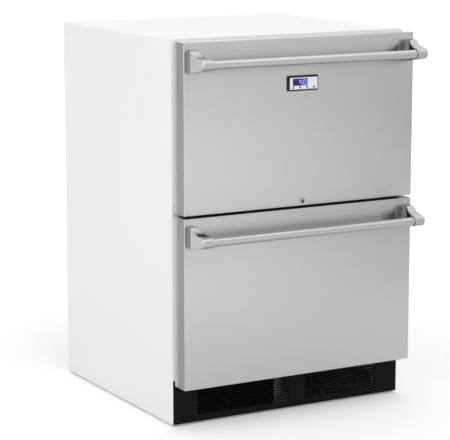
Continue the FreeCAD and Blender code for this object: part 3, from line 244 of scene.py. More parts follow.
def brushed(name, low, high, rough, along, depth, spread=0.0, bar=False):
    """Metal with belt scratches that run along X and spread reflections across them."""
    finish = Finish(name)
    fine = finish.noise(1.0, along, detail=4.0)
    band = finish.noise(1.0, BELT_BANDS, detail=2.0)
    grain = 0.75 * fine + 0.25 * band
    return finish.set(
        Base_Color=finish.blend(bar_grain_and_painted_light(finish, grain) if bar else grain, low, high),
        Metallic=1.0,
        Roughness=around(rough, 0.05, grain),
        Anisotropic=spread,
        Anisotropic_Rotation=0.25,
        Normal=finish.bump(fine, depth, 0.25),
    )


front_steel = brushed(
    "brushed front steel", (0.47, 0.472, 0.475), (0.53, 0.532, 0.535),
    rough=0.24, along=(7.0, 900.0, 900.0), depth=0.00002, spread=0.85,
)
# The bar's near-black low colour is its painted back shade; its top is lighter as painted light.
bar_steel = brushed(
    "satin bar steel", (0.06, 0.06, 0.06), (0.60, 0.602, 0.605),
    rough=0.22, along=(9.0, 700.0, 700.0), depth=0.00004, bar=True,
)
print("made", front_steel.name, "and", bar_steel.name)

# %% [markdown]
# The handle ends are zinc castings, tumbled and plated to go with the bar. Tumbling
# leaves a soft, cloudy satin with no direction, so plain noise is right here. Painted light
# makes them lighter from above: it mixes in how far the metal faces up. Chrome, aluminium
# and copper take the same recipe without the painted light.

# %% Cast and plated metal
def grain_and_painted_top_light(finish, share, grain):
    """Mixes a share of painted top light, which grows from 0 facing down to 1 facing up, into a grain."""
    return (1 - share) * grain + share * (0.5 + 0.5 * faced(finish, "Z"))


def plated(name, low, high, rough, grain, depth, painted_top_light=0.0):
    """Metal whose texture has no direction."""
    finish = Finish(name)
    cloud = finish.noise(grain, detail=3.0)
    return finish.set(
        Base_Color=finish.blend(grain_and_painted_top_light(finish, painted_top_light, cloud) if painted_top_light else cloud, low, high),
        Metallic=1.0,
        Roughness=around(rough, 0.08, cloud),
        Normal=finish.bump(cloud, depth, 0.3),
    )


# The casting's colour carries painted light: lighter where it faces up.
cast_steel = plated(
    "tumbled casting", (0.28, 0.282, 0.285), (0.60, 0.602, 0.605),
    rough=0.30, grain=350.0, depth=0.00001, painted_top_light=0.8,
)
lock_chrome = plated(
    "lock chrome", (0.40, 0.40, 0.405), (0.48, 0.48, 0.485), rough=0.16, grain=900.0, depth=0.00003
)
aluminium = plated(
    "mill aluminium", (0.58, 0.59, 0.60), (0.72, 0.73, 0.74), rough=0.34, grain=260.0, depth=0.00008
)
copper = plated(
    "drawn copper", (0.60, 0.27, 0.16), (0.74, 0.38, 0.24), rough=0.32, grain=180.0, depth=0.00008
)
print("made", cast_steel.name, lock_chrome.name, aluminium.name, copper.name)

# %% [markdown]
# Slides, legs and the sheets at the back are zinc-coated. Hot zinc sets in crystals
# that each catch the light differently, and a Voronoi texture gives every crystal its
# own grey. Plated slides have the same look, but finer and paler.

# %% Zinc crystals
def zinc(name, crystals, low, high, rough):
    """Zinc-coated steel, with so many crystals to the metre."""
    finish = Finish(name)
    tone = finish.node("ShaderNodeSeparateColor", sockets={0: finish.cells(crystals, "Color")})
    cloud = finish.noise(40.0, detail=3.0)
    return finish.set(
        Base_Color=finish.blend(0.7 * tone + 0.3 * cloud, low, high),
        Metallic=1.0,
        Roughness=around(rough, 0.08, tone),
        Normal=finish.bump(tone, 0.00004, 0.3),
    )


galvanised = zinc("galvanised sheet", 130.0, (0.42, 0.43, 0.45), (0.60, 0.61, 0.63), rough=0.42)
zinc_steel = zinc("bright zinc steel", 520.0, (0.58, 0.59, 0.60), (0.72, 0.73, 0.74), rough=0.32)
print("made", galvanised.name, "and", zinc_steel.name)

# %% [markdown]
# Moulded plastics and rubbers copy the fine spark-eroded skin of their tool. One recipe
# serves for all of them: a small grain as bump, and a faint drift in colour and gloss.

# %% Moulded plastics
def moulded(name, low, high, rough, grain=1400.0, depth=0.00006, gloss=0.5):
    """Plastic or rubber with a fine moulded skin."""
    finish = Finish(name)
    drift = finish.noise(9.0, detail=3.0)
    skin = finish.noise(grain)
    return finish.set(
        Base_Color=finish.blend(drift, low, high),
        Roughness=around(rough, 0.05, skin),
        Specular_IOR_Level=gloss,
        Normal=finish.bump(skin, depth, 0.4),
    )


black_plastic = moulded(
    "black moulding", (0.005, 0.005, 0.0055), (0.008, 0.008, 0.0085), rough=0.50, gloss=0.2
)
white_plastic = moulded(
    "white liner moulding", (0.76, 0.77, 0.77), (0.82, 0.83, 0.83), rough=0.40, grain=300.0, depth=0.00012
)
panel_white = moulded("controller face film", (0.86, 0.865, 0.87), (0.90, 0.905, 0.91), rough=0.44)
button_grey = moulded("dark button rubber", (0.050, 0.052, 0.060), (0.075, 0.078, 0.088), rough=0.55)
grey_rubber = moulded(
    "gasket rubber", (0.62, 0.62, 0.625), (0.68, 0.68, 0.685), rough=0.62, grain=700.0, depth=0.0001
)
black_rubber = moulded(
    "mount rubber", (0.012, 0.012, 0.012), (0.02, 0.02, 0.02), rough=0.74, grain=500.0, depth=0.0002
)
print("made", black_plastic.name, white_plastic.name, panel_white.name)
print("made", button_grey.name, grey_rubber.name, black_rubber.name)

# %% [markdown]
# The drawer bins are enamelled: a glassy coat fired on steel, smooth and slightly wavy.
# The foam that fills the walls is made of tiny closed cells, which a Voronoi texture
# gives as both colour and bump.

# %% Enamel and foam
bin_enamel = coat(
    "fired enamel", (0.70, 0.71, 0.72), (0.76, 0.77, 0.78), rough=0.22, peel_scale=60.0, peel_depth=0.0002
)
foam_finish = Finish("poured foam")
foam_cells = foam_finish.cells(600.0, "Distance")
foam = foam_finish.set(
    Base_Color=foam_finish.blend(foam_cells, (0.62, 0.52, 0.28), (0.78, 0.70, 0.46)),
    Roughness=0.9 - 0.1 * foam_cells,
    Normal=foam_finish.bump(foam_cells, 0.0006),
)
print("made", bin_enamel.name, foam.name)

# %% [markdown]
# The display's window is dark violet glass with a lamp behind the figures. The figures
# stand in its right half, so the blue glow grows along X, and the left part stays dark.

# %% Display glass
GLOW_START = -20 * MM
GLOW_END = -8 * MM
glass_finish = Finish("violet display glass")
glass_haze = glass_finish.noise(60.0, detail=3.0)
glass_glow = glass_finish.ramp(glass_finish.along("X"), GLOW_START, GLOW_END, shape="SMOOTHSTEP")
display_glass = glass_finish.set(
    Base_Color=glass_finish.blend(glass_haze, (0.022, 0.016, 0.090), (0.030, 0.022, 0.120)),
    Emission_Color=glass_finish.blend(glass_glow, (0.004, 0.003, 0.012), (0.010, 0.022, 0.28)),
    Emission_Strength=1.0,
    Roughness=0.10 + 0.06 * glass_haze,
    Specular_IOR_Level=0.2,
)
print("made", display_glass.name)

# %% [markdown]
# The record of the part names a material slot for every solid. Looking the finish up
# by slot dresses all the solids at once, so no solid is forgotten.

# %% Dress every CAD solid
FINISHES = {
    "white_paint": white_coat,
    "galvanised_steel": galvanised,
    "black_paint": black_coat,
    "black_plastic": black_plastic,
    "white_plastic": white_plastic,
    "foam": foam,
    "grey_rubber": grey_rubber,
    "black_rubber": black_rubber,
    "aluminium": aluminium,
    "copper": copper,
    "stainless_steel": front_steel,
    "handle_steel": bar_steel,
    "zinc_steel": zinc_steel,
    "bin_enamel": bin_enamel,
    "panel_white": panel_white,
    "display_glass": display_glass,
    "button_grey": button_grey,
    "lock_chrome": lock_chrome,
}


def dress(node, finish):
    """Gives every material slot of a CAD solid one finish."""
    for holder in frame["nodes"][node].material_slots:
        holder.material = finish


for subpart in frame["record"]["subparts"]:
    dress(subpart["node"], FINISHES[subpart["material_slot"]])

# %% [markdown]
# New pieces are modelled with bmesh operators. Most of them start as a block between two
# corners, whose edges or faces are picked by the way they run or look, and are then
# rounded, inset or moved. These few helpers keep that short.

# %% Helpers for shapes
BACK = Vector((0, 1, 0))


def block(form, low, high):
    """Adds a block between two corners."""
    low, high = Vector(low), Vector(high)
    place = Matrix.Translation((low + high) / 2) @ Matrix.Diagonal((*(high - low), 1))
    bmesh.ops.create_cube(form, size=1, matrix=place)


def round_edges(form, edges, radius, segments=3):
    """Rounds edges to a radius."""
    bmesh.ops.bevel(
        form, geom=list(edges), offset=radius, offset_type="OFFSET", affect="EDGES",
        segments=segments, profile=0.5, material=-1, clamp_overlap=True,
    )


def edges_along(form, axis):
    """The straight edges that run along an axis, 0 for X, 1 for Y and 2 for Z."""
    found = []
    for edge in form.edges:
        line = (edge.verts[1].co - edge.verts[0].co).normalized()
        if abs(line[axis]) > 0.999:
            found.append(edge)
    return found


def sharp_edges(form, degrees):
    """The edges whose two faces turn by more than an angle."""
    limit = math.radians(degrees)
    return [edge for edge in form.edges if edge.is_manifold and edge.calc_face_angle(0) > limit]


def facing(form, way):
    """The faces that look one way."""
    return [face for face in form.faces if face.normal.dot(way) > 0.99]


def shift(form, faces, step):
    """Moves faces by a step, with the walls that hang on them."""
    bmesh.ops.translate(form, verts=list({vert for face in faces for vert in face.verts}), vec=step)


print("made six helpers for shapes")

# %% [markdown]
# A finished form becomes an object at the origin. A piece of the refrigerator is shaded
# smooth up to its sharp edges, and it rides on a body of the CAD model and stands for the
# solids that it replaces.

# %% From a form to a piece
SHARP_DEGREES = 35


def shown(name, form, finish):
    """Makes a finished form an object of the scene."""
    mesh = bpy.data.meshes.new(name)
    form.to_mesh(mesh)
    form.free()
    mesh.materials.append(finish)
    made = bpy.data.objects.new(name, mesh)
    bpy.context.scene.collection.objects.link(made)
    print(name, len(mesh.polygons), "faces")
    return made


def piece(name, form, finish, body, slot, *replaced):
    """Makes a finished form a piece on a body, in place of the solids it stands for."""
    made = shown(name, form, finish)
    made.data.shade_smooth()
    made.data.set_sharp_from_angle(angle=math.radians(SHARP_DEGREES))
    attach(made, body)
    if replaced:
        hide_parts(*replaced)
    return made


print("edges over", SHARP_DEGREES, "degrees stay sharp")

# %% [markdown]
# A drawer front is a steel pan, folded back at its edges. The fold over the long press
# brake gives rounder upright edges than the top and bottom ones. A Bevel modifier has one
# width, so the two kinds of edges of a block are rounded one after the other here. Then its
# back is inset and pushed in, which leaves the turned rim that carries the inner panel. The
# folded sides and the edge in the gap between the drawers take a darker, duller copy of the
# steel, which is painted shade.

# %% Drawer front skins
SIDES = ("upper", "lower")
UPRIGHT_ROUND = 2.2 * MM
CREASE_ROUND = 1.6 * MM
RIM_WIDTH = 14 * MM
RIM_STEP = 1.5 * MM
# The folded faces' darker colour is painted shade.
fold_painted_shade_steel = plated(
    "folded steel, darker as painted shade", (0.265, 0.267, 0.27), (0.315, 0.317, 0.32), rough=0.46, grain=120.0, depth=0.0001
)

for side in SIDES:
    low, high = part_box(f"{side}_front_skin")
    form = bmesh.new()
    block(form, low, high)
    uprights = [edge for edge in edges_along(form, 2) if edge.verts[0].co.y < low.y + MM]
    round_edges(form, uprights, UPRIGHT_ROUND, 6)
    creases = []
    for edge in sharp_edges(form, 60):
        start, end = (vert.co for vert in edge.verts)
        if abs(start.z - end.z) < 1e-6 and start.y + end.y < 2 * high.y - MM:
            creases.append(edge)
    round_edges(form, creases, CREASE_ROUND, 3)
    back = facing(form, BACK)
    bmesh.ops.inset_region(form, faces=back, thickness=RIM_WIDTH)
    shift(form, back, -RIM_STEP * BACK)
    to_gap = -1 if side == "upper" else 1
    for face in form.faces:
        # the pan's sides and its face in the gap take the painted shade
        painted_dark_fold = abs(face.normal.x) > 0.8 or face.normal.z * to_gap > 0.8
        face.material_index = 1 if painted_dark_fold else 0
    pan = piece(
        f"{side}_front_pan", form, front_steel, f"{side}_drawer", "stainless_steel", f"{side}_front_skin"
    )
    pan.data.materials.append(fold_painted_shade_steel)

# %% [markdown]
# Behind each steel pan the white inner panel shows as a narrow rim, with painted shade that
# runs from grey at the steel to pale at the seal. The CAD panel has the right shape, so it
# stays, and its colour follows Y. The face that closes the compartment stays plain white.

# %% Inner panel rims
# The rim's painted shade runs from dark at the steel up to this share of the way to white.
RIM_PALE = 0.45
rim_finish = Finish("inner panel with painted shade on its rim")
rim_low, rim_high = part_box("upper_inner_panel")
rim_y = rim_finish.along("Y")
rim_shade_ramp = rim_finish.ramp(rim_y, rim_low.y, rim_high.y - MM, 0.0, RIM_PALE)
rim_face = rim_y > rim_high.y - 0.3 * MM
rim_skin = rim_finish.noise(300.0)
rim_shade_to_white = rim_shade_ramp + (1 - RIM_PALE) * rim_face
rim_plastic = rim_finish.set(
    Base_Color=rim_finish.blend(rim_shade_to_white, (0.28, 0.282, 0.285), (0.80, 0.81, 0.81)),
    Roughness=0.36 + 0.10 * rim_skin,
    Normal=rim_finish.bump(rim_skin, 0.0001, 0.4),
)
for side in SIDES:
    dress(f"{side}_inner_panel", rim_plastic)
print("made", rim_plastic.name)

# %% [markdown]
# A magnet gasket runs round the back of each front. It is a soft bellows with a wide
# outer lip, which hides the slot between the front and the cabinet. A section swept along
# four sides would need mitred corners. So a rectangle is inset to a ring, the ring is drawn
# out to the gasket's depth, and a groove is pressed into the side that meets the cabinet.
# The lip is left off along the gap between the drawers, and is half as wide above the toe
# grille.

# %% Gaskets
LIP_REACH = 11 * MM
GASKET_WIDTH = 14 * MM
GASKET_ROUND = 1.2 * MM
GROOVE_BORDER = 5 * MM
GROOVE_DEPTH = 2 * MM


def dots(form, places):
    """Adds a loose vertex at each place."""
    return [bmesh.ops.create_vert(form, co=place)["vert"][0] for place in places]


def new_verts(made):
    """The vertices among the geometry that an operator made."""
    return [part for part in made["geom"] if isinstance(part, bmesh.types.BMVert)]


for side in SIDES:
    low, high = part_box(f"{side}_gasket")
    low_z = low.z if side == "upper" else low.z - LIP_REACH / 2
    high_z = high.z + LIP_REACH if side == "upper" else high.z
    half = high.x + LIP_REACH
    corners = [(-half, low_z), (half, low_z), (half, high_z), (-half, high_z)]
    form = bmesh.new()
    sheet = form.faces.new(dots(form, [(x, low.y, z) for x, z in corners]))
    form.normal_update()
    bmesh.ops.inset_region(
        form, faces=[sheet], thickness=LIP_REACH + GASKET_WIDTH, use_even_offset=True, use_boundary=True
    )
    bmesh.ops.delete(form, geom=[sheet], context="FACES")
    raised = new_verts(bmesh.ops.extrude_face_region(form, geom=form.faces[:]))
    bmesh.ops.translate(form, verts=raised, vec=(0, high.y - low.y, 0))
    bmesh.ops.recalc_face_normals(form, faces=form.faces[:])
    form.normal_update()
    round_edges(form, sharp_edges(form, 60), GASKET_ROUND, 3)
    back = facing(form, BACK)
    bmesh.ops.inset_region(form, faces=back, thickness=GROOVE_BORDER, use_even_offset=True)
    shift(form, back, -GROOVE_DEPTH * BACK)
    piece(f"{side}_bellows_gasket", form, grey_rubber, f"{side}_drawer", "grey_rubber", f"{side}_gasket")

# %% [markdown]
# From outside, the gap between the drawers is black. A dark strip under the upper front,
# a little way in, stands for the shade in the gap: it is painted shade. It is a long block
# with a round nose that hangs from the inner panel, and it leaves a hair of room above the
# lower front, which slides past under it.

# %% Gap strip
STRIP_ROOM = 0.7 * MM
STRIP_END = 11 * MM
STRIP_ROUND = 1.2 * MM
panel_low, panel_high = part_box("upper_inner_panel")
lower_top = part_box("lower_front_skin")[1].z
form = bmesh.new()
block(
    form,
    (panel_low.x + STRIP_END, panel_low.y + 0.2 * MM, lower_top + STRIP_ROOM),
    (panel_high.x - STRIP_END, panel_high.y - MM, panel_low.z + 0.1 * MM),
)
nose = [edge for edge in edges_along(form, 0) if edge.verts[0].co.z < lower_top + MM]
round_edges(form, nose, STRIP_ROUND, 4)
# The black strip is painted shade in the gap.
piece("gap_shade_strip", form, black_rubber, "upper_drawer", "black_plastic")

# %% [markdown]
# Bars, collars, tubes and studs are turned parts. Spinning half of a part's outline once
# round its axis makes them with clean edges. A handle's two ends are alike, so only the
# right one is built, and a mirror makes the left one.

# %% Spun and mirrored forms
def spun(form, outline, centre, axis, steps=48):
    """Spins an open outline of points once round an axis into a closed skin."""
    verts = dots(form, outline)
    edges = [form.edges.new(pair) for pair in zip(verts, verts[1:])]
    bmesh.ops.spin(
        form, geom=verts + edges, cent=centre, axis=axis, dvec=(0, 0, 0),
        angle=2 * math.pi, steps=steps, use_merge=True, use_duplicate=False,
    )
    bmesh.ops.remove_doubles(form, verts=form.verts[:], dist=1e-6)
    bmesh.ops.recalc_face_normals(form, faces=form.faces[:])


def everything(form):
    """All the geometry of a form."""
    return form.verts[:] + form.edges[:] + form.faces[:]


def both_sides(form):
    """Adds the mirror image of a right-hand form at the left."""
    bmesh.ops.mirror(form, geom=everything(form), axis="X", merge_dist=-1)
    bmesh.ops.recalc_face_normals(form, faces=form.faces[:])


print("made helpers for spun and mirrored forms")

# %% [markdown]
# Each handle ends in a cast post, with an arm that drops from the foot's top to a round
# collar at the bar. A straight loft would miss the saddle that its top sinks into. So the
# arm is a block, subdivided along its length, whose stations are moved to the narrowing
# outline one by one.

# %% Arm of a post
COLLAR_RADIUS = 12 * MM
COLLAR_LENGTH = 31 * MM
FOOT_WIDTH = 20 * MM
POST_LEAN = 3 * MM
CAST_ROUND = 1.2 * MM
STEEP_RUN = 1 / 3
STEEP_DROP = 0.65
SADDLE_SAG = 0.15
ON_TOP = 2  # the casting's third material


def saddle(run):
    """The share of the arm's drop that is done at a share of its run: steep, then nearly flat."""
    steep = min(run / STEEP_RUN, 1)
    flat = max(run - STEEP_RUN, 0) / (1 - STEEP_RUN)
    return STEEP_DROP * steep + (1 - STEEP_DROP) * (1 + SADDLE_SAG * (1 - flat)) * flat


def add_arm(form, low, high, axis, foot_y):
    """The right-hand arm, from its foot to the bar's axis."""
    block(form, (high.x - FOOT_WIDTH, axis.y, low.z), (high.x, foot_y, high.z))
    bmesh.ops.subdivide_edges(form, edges=edges_along(form, 1), cuts=9, use_grid_fill=True)
    for vert in form.verts:
        run = (vert.co.y - foot_y) / (axis.y - foot_y)
        if vert.co.z > axis.z:
            vert.co.z = high.z - saddle(run) * (high.z - axis.z - COLLAR_RADIUS)
        else:
            vert.co.z = low.z + run * (axis.z - COLLAR_RADIUS - low.z)
        vert.co.x -= run * (POST_LEAN if vert.co.x > high.x - MM else COLLAR_LENGTH - FOOT_WIDTH)
    form.normal_update()
    round_edges(form, sharp_edges(form, 40), CAST_ROUND, 3)
    form.normal_update()
    for face in form.faces:
        if face.normal.z > 0.93:
            face.material_index = ON_TOP


print("arm", round(FOOT_WIDTH / MM), "to", round((COLLAR_LENGTH - POST_LEAN) / MM), "mm wide")

# %% [markdown]
# Such a casting is open inside to save metal. The flank that faces the other post is inset
# twice, once for the border and once for the draft that lets it leave its mould, and pushed
# in. The collar round the bar's end is a turned form, so it is spun.

# %% Pocket and collar of a post
ELBOW_ROUND = 4 * MM
POCKET_BORDER = 1.2 * MM
POCKET_DRAFT = 0.4 * MM
POCKET_DEPTH = 5 * MM
IN_POCKET = 1  # the casting's second material


def open_pocket(form):
    """Presses the pocket into the arm's inner flank."""
    flank = [face for face in form.faces if face.normal.x < -0.9 and face.normal.y > 0.1]
    bmesh.ops.inset_region(form, faces=flank, thickness=POCKET_BORDER, use_even_offset=True)
    walls = bmesh.ops.inset_region(form, faces=flank, thickness=POCKET_DRAFT, use_even_offset=True)["faces"]
    shift(form, flank, (POCKET_DEPTH, 0, 0))
    # the pocket and its walls take the painted shade
    for face in flank + walls:
        face.material_index = IN_POCKET


def add_collar(form, outer_x, axis):
    """The round collar at the right-hand end of the bar."""
    outline = [(outer_x - COLLAR_LENGTH, 0.0), (outer_x - COLLAR_LENGTH, COLLAR_RADIUS)]
    for step in range(7):
        turn = step * math.pi / 12
        x = outer_x - POST_LEAN - ELBOW_ROUND * (1 - math.sin(turn))
        outline.append((x, COLLAR_RADIUS - ELBOW_ROUND * (1 - math.cos(turn))))
    outline.append((outer_x - POST_LEAN, 0.0))
    spun(form, [(x, axis.y, axis.z + radius) for x, radius in outline], axis, (1, 0, 0), 40)


print("collar", round(2 * COLLAR_RADIUS / MM), "mm across, pocket", round(POCKET_DEPTH / MM), "mm deep")

# %% [markdown]
# A post has three finishes: the tumbled casting, a top that hands keep bright, and a
# pocket painted dark as shade. It stands on a grey foot, a plate with round corners, which
# a hair of room sets off from the arm. A weighted normal keeps the flat flanks flat next to
# the rounded edges.

# %% Handle posts
FOOT_DEPTH = 18 * MM
FOOT_ROOM = 0.4 * MM
FOOT_ROUND = 5 * MM
bright_top = plated(
    "bright top of the casting", (0.44, 0.442, 0.445), (0.52, 0.522, 0.525),
    rough=0.08, grain=350.0, depth=0.000003,
)
# The pocket's near-black colour is painted shade.
pocket_painted_shade = plated(
    "casting with painted shade in the pocket", (0.060, 0.060, 0.062), (0.095, 0.095, 0.097),
    rough=0.60, grain=300.0, depth=0.0001,
)
foot_grey = moulded(
    "grey post foot", (0.18, 0.18, 0.183), (0.215, 0.215, 0.218),
    rough=0.46, grain=500.0, depth=0.0001, gloss=0.3,
)

for side in SIDES:
    low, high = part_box(f"{side}_handle_posts")
    bar_low, bar_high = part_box(f"{side}_handle_bar")
    axis = (bar_low + bar_high) / 2
    foot_y = high.y - FOOT_DEPTH
    form = bmesh.new()
    add_arm(form, low, high, axis, foot_y)
    open_pocket(form)
    add_collar(form, high.x, axis)
    both_sides(form)
    castings = piece(
        f"{side}_post_castings", form, cast_steel, f"{side}_drawer", "handle_steel", f"{side}_handle_posts"
    )
    castings.data.materials.append(pocket_painted_shade)
    castings.data.materials.append(bright_top)
    flat_flanks = castings.modifiers.new("flat flanks", "WEIGHTED_NORMAL")
    flat_flanks.weight = 100
    flat_flanks.keep_sharp = True

    form = bmesh.new()
    block(form, (high.x - FOOT_WIDTH, foot_y + FOOT_ROOM, low.z), high)
    round_edges(form, edges_along(form, 1), FOOT_ROUND, 6)
    both_sides(form)
    piece(f"{side}_post_feet", form, foot_grey, f"{side}_drawer", "handle_steel", f"{side}_handle_posts")

# %% [markdown]
# The bar is a straight tube whose ends go into the collars. Its spun outline dips in a fine
# groove near each end, so that a dark line shows the joint.

# %% Handle bars
BAR_RADIUS = 9.5 * MM
JOINT_RADIUS = BAR_RADIUS - 0.7 * MM
JOINT_INSET = 20 * MM
for side in SIDES:
    low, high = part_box(f"{side}_handle_bar")
    middle = (low + high) / 2
    joint = high.x - JOINT_INSET
    half = [
        (high.x, 0), (high.x, BAR_RADIUS),
        (joint + 0.1 * MM, BAR_RADIUS), (joint - 0.1 * MM, JOINT_RADIUS),
        (joint - 1.3 * MM, JOINT_RADIUS), (joint - 1.5 * MM, BAR_RADIUS),
    ]
    outline = half + [(-x, radius) for x, radius in reversed(half)]
    form = bmesh.new()
    spun(form, [(x, middle.y, middle.z + radius) for x, radius in outline], middle, (1, 0, 0))
    piece(f"{side}_grip_bar", form, bar_steel, f"{side}_drawer", "handle_steel", f"{side}_handle_bar")

# %% [markdown]
# The controller has a black frame, a white face with a dark window, and four small
# buttons. The frame is a block with rounded corners and an eased front edge, and its
# front stands just before the face. Insetting that front and pushing the middle back
# opens it. The opening is then stretched to the frame's uneven borders: wide at the top
# and bottom, narrow at the left, and next to nothing at the right.

# %% Controller frame
FRONT = Vector((0, -1, 0))
FRAME_LIP = 0.7 * MM
FRAME_ROUND = 2.5 * MM
FRAME_EASE = 0.4 * MM
FRAME_INSET = 0.2 * MM
OPENING_LOW = Vector((1.6 * MM, 0, 3.2 * MM))
OPENING_HIGH = Vector((0.7 * MM, 0, 3.9 * MM))
OPENING_DEPTH = 1.4 * MM


def ease_front(form, radius):
    """Rounds the edge round the front of a form."""
    round_edges(form, {edge for face in facing(form, FRONT) for edge in face.edges}, radius, 3)


low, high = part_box("controller_bezel")
front_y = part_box("upper_front_skin")[0].y
form = bmesh.new()
block(form, (low.x, low.y - FRAME_LIP, low.z), (high.x, front_y, high.z))
round_edges(form, edges_along(form, 1), FRAME_ROUND, 5)
ease_front(form, FRAME_EASE)
front = facing(form, FRONT)
bmesh.ops.inset_region(form, faces=front, thickness=FRAME_INSET)
margin = FRAME_EASE + FRAME_INSET
for vert in {vert for face in front for vert in face.verts}:
    across = (vert.co.x - low.x - margin) / (high.x - low.x - 2 * margin)
    up = (vert.co.z - low.z - margin) / (high.z - low.z - 2 * margin)
    vert.co.x = low.x + OPENING_LOW.x + across * (high.x - low.x - OPENING_LOW.x - OPENING_HIGH.x)
    vert.co.z = low.z + OPENING_LOW.z + up * (high.z - low.z - OPENING_LOW.z - OPENING_HIGH.z)
sunk = bmesh.ops.extrude_discrete_faces(form, faces=front)["faces"]
shift(form, sunk, OPENING_DEPTH * BACK)
piece("controller_frame", form, black_plastic, "upper_drawer", "black_plastic", "controller_bezel")

# %% [markdown]
# The buttons are soft pills that stand just proud of the face. Rounding the corners of a
# small block almost to half its height makes the pill, and easing the front edge makes it
# look pressed from rubber.

# %% Push buttons
BUTTON_FLANGE = 0.6 * MM
BUTTON_ROUND = 1.45 * MM
BUTTON_EASE = 0.5 * MM
flange = Vector((BUTTON_FLANGE, 0, BUTTON_FLANGE))
for name in ("set", "down", "up", "power"):
    low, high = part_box(f"{name}_button")
    form = bmesh.new()
    block(form, low + flange, high - flange)
    round_edges(form, edges_along(form, 1), BUTTON_ROUND, 5)
    ease_front(form, BUTTON_EASE)
    piece(f"{name}_button_cap", form, button_grey, f"{name}_button", "button_grey", f"{name}_button")

# %% [markdown]
# The display shows a temperature in light-blue seven-segment figures. A text object would
# give the wrong, rounded shapes. A segment is a flat bar with pointed ends, so a six-sided
# cylinder, stretched along its length and pressed flat, makes one. The segments are
# lettered a to g, as on a data sheet.

# %% Shape of a figure
# Where the middle of a segment is, across and up, and whether it stands upright.
SEGMENTS = {
    "a": (0.0, 1.0, 0), "b": (0.5, 0.5, 1), "c": (0.5, -0.5, 1), "d": (0.0, -1.0, 0),
    "e": (-0.5, -0.5, 1), "f": (-0.5, 0.5, 1), "g": (0.0, 0.0, 0),
}
FIGURES = {"4": "bcfg", "0": "abcdef"}
FIGURE_WIDTH = 5.8 * MM
FIGURE_HEIGHT = 11 * MM
SEGMENT_WIDTH = 1.6 * MM
SEGMENT_DEPTH = 0.24 * MM
SEGMENT_FILL = 0.92


def segment(form, x, y, z, length, width, upright=False):
    """One pointed bar of a figure, lying flat on the window."""
    turn = Matrix.Rotation(math.pi / 2, 4, "Y") if upright else Matrix.Identity(4)
    size = Matrix.Diagonal((length / 2, SEGMENT_DEPTH / 2, width / 2, 1))
    place = Matrix.Translation((x, y, z)) @ turn @ size @ Matrix.Rotation(math.pi / 2, 4, "X")
    bmesh.ops.create_cone(
        form, cap_ends=True, cap_tris=False, segments=6, radius1=1, radius2=1, depth=2, matrix=place
    )


def figure(form, digit, x, y, z):
    """One digit about its middle, from the segments that are lit."""
    for key in FIGURES[digit]:
        across, up, upright = SEGMENTS[key]
        length = (FIGURE_HEIGHT / 2 if upright else FIGURE_WIDTH) * SEGMENT_FILL
        middle_x = x + across * FIGURE_WIDTH
        middle_z = z + up * FIGURE_HEIGHT / 2
        segment(form, middle_x, y, middle_z, length, SEGMENT_WIDTH, upright)


print("figures", sorted(FIGURES))

# %% [markdown]
# The two figures and their point are set in the right half of the window. They give off
# light of their own, a little unevenly, so they can be read in the dark.

# %% Display figures
FIGURE_PLACES = {"4": 20 * MM, "0": 30.5 * MM}
POINT_PLACE = 25.2 * MM
POINT_HEIGHT = 1.4 * MM
FIGURE_LIFT = 0.04 * MM
glow = Finish("light blue figures")
glow_cloud = glow.noise(300.0)
figure_light = glow.set(
    Base_Color=glow.blend(glow_cloud, (0.16, 0.24, 0.55), (0.22, 0.30, 0.65)),
    Emission_Color=glow.blend(glow_cloud, (0.42, 0.50, 0.95), (0.50, 0.58, 1.0)),
    Emission_Strength=1.0,
    Roughness=0.4,
)
low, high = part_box("display_window")
figure_y = low.y - FIGURE_LIFT
figure_z = (low.z + high.z) / 2
form = bmesh.new()
for digit, place in FIGURE_PLACES.items():
    figure(form, digit, low.x + place, figure_y, figure_z)
segment(form, low.x + POINT_PLACE, figure_y, figure_z - FIGURE_HEIGHT / 2, SEGMENT_WIDTH, POINT_HEIGHT)
bmesh.ops.recalc_face_normals(form, faces=form.faces[:])
piece("display_figures", form, figure_light, "upper_drawer", "display_glass")

# %% [markdown]
# The lock is a small chromed ring with the turning plug inside it. Spinning one short
# outline gives the ring its eased rim. The plug keeps its CAD solid, in a duller metal.

# %% Lock ring
low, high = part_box("lock_housing")
axis_x = (low.x + high.x) / 2
axis_z = (low.z + high.z) / 2
ring = [
    (4.1 * MM, front_y + 6 * MM), (4.1 * MM, low.y + 0.5 * MM), (4.6 * MM, low.y), (6.6 * MM, low.y),
    (7.2 * MM, low.y + 0.3 * MM), (7.5 * MM, low.y + 0.9 * MM), (7.5 * MM, front_y + 0.2 * MM),
]
form = bmesh.new()
spun(form, [(axis_x + radius, y, axis_z) for radius, y in ring], (axis_x, 0, axis_z), (0, 1, 0), 40)
piece("lock_ring", form, lock_chrome, "upper_drawer", "lock_chrome", "lock_housing")
core_steel = plated(
    "dull lock core", (0.07, 0.07, 0.072), (0.11, 0.11, 0.112), rough=0.40, grain=700.0, depth=0.00004
)
dress("lock_plug", core_steel)

# %% [markdown]
# Behind the grille stands the condenser: a pack of thin black fins on rows of tube. A fin
# is one flat block, and a row of them along X makes the pack. An Array modifier would
# repeat a fin too, but a loop stops by itself at the end plate.

# %% Condenser fins
FIRST_FIN = 4 * MM
FIN_PITCH = 3.2 * MM
FIN_THICKNESS = 0.4 * MM
FIN_FRONT = 2 * MM
FIN_FOOT = 3 * MM
FIN_HEAD = 2 * MM
PLATE_INSET = 45 * MM
low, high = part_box("condenser")
plate_x = high.x - PLATE_INSET
form = bmesh.new()
x = low.x + FIRST_FIN
while x < plate_x:
    start = (x, low.y + FIN_FRONT, low.z + FIN_FOOT)
    block(form, start, (x + FIN_THICKNESS, high.y - MM, high.z - FIN_HEAD))
    x += FIN_PITCH
piece("condenser_fins", form, black_coat, "cabinet", "aluminium", "condenser")
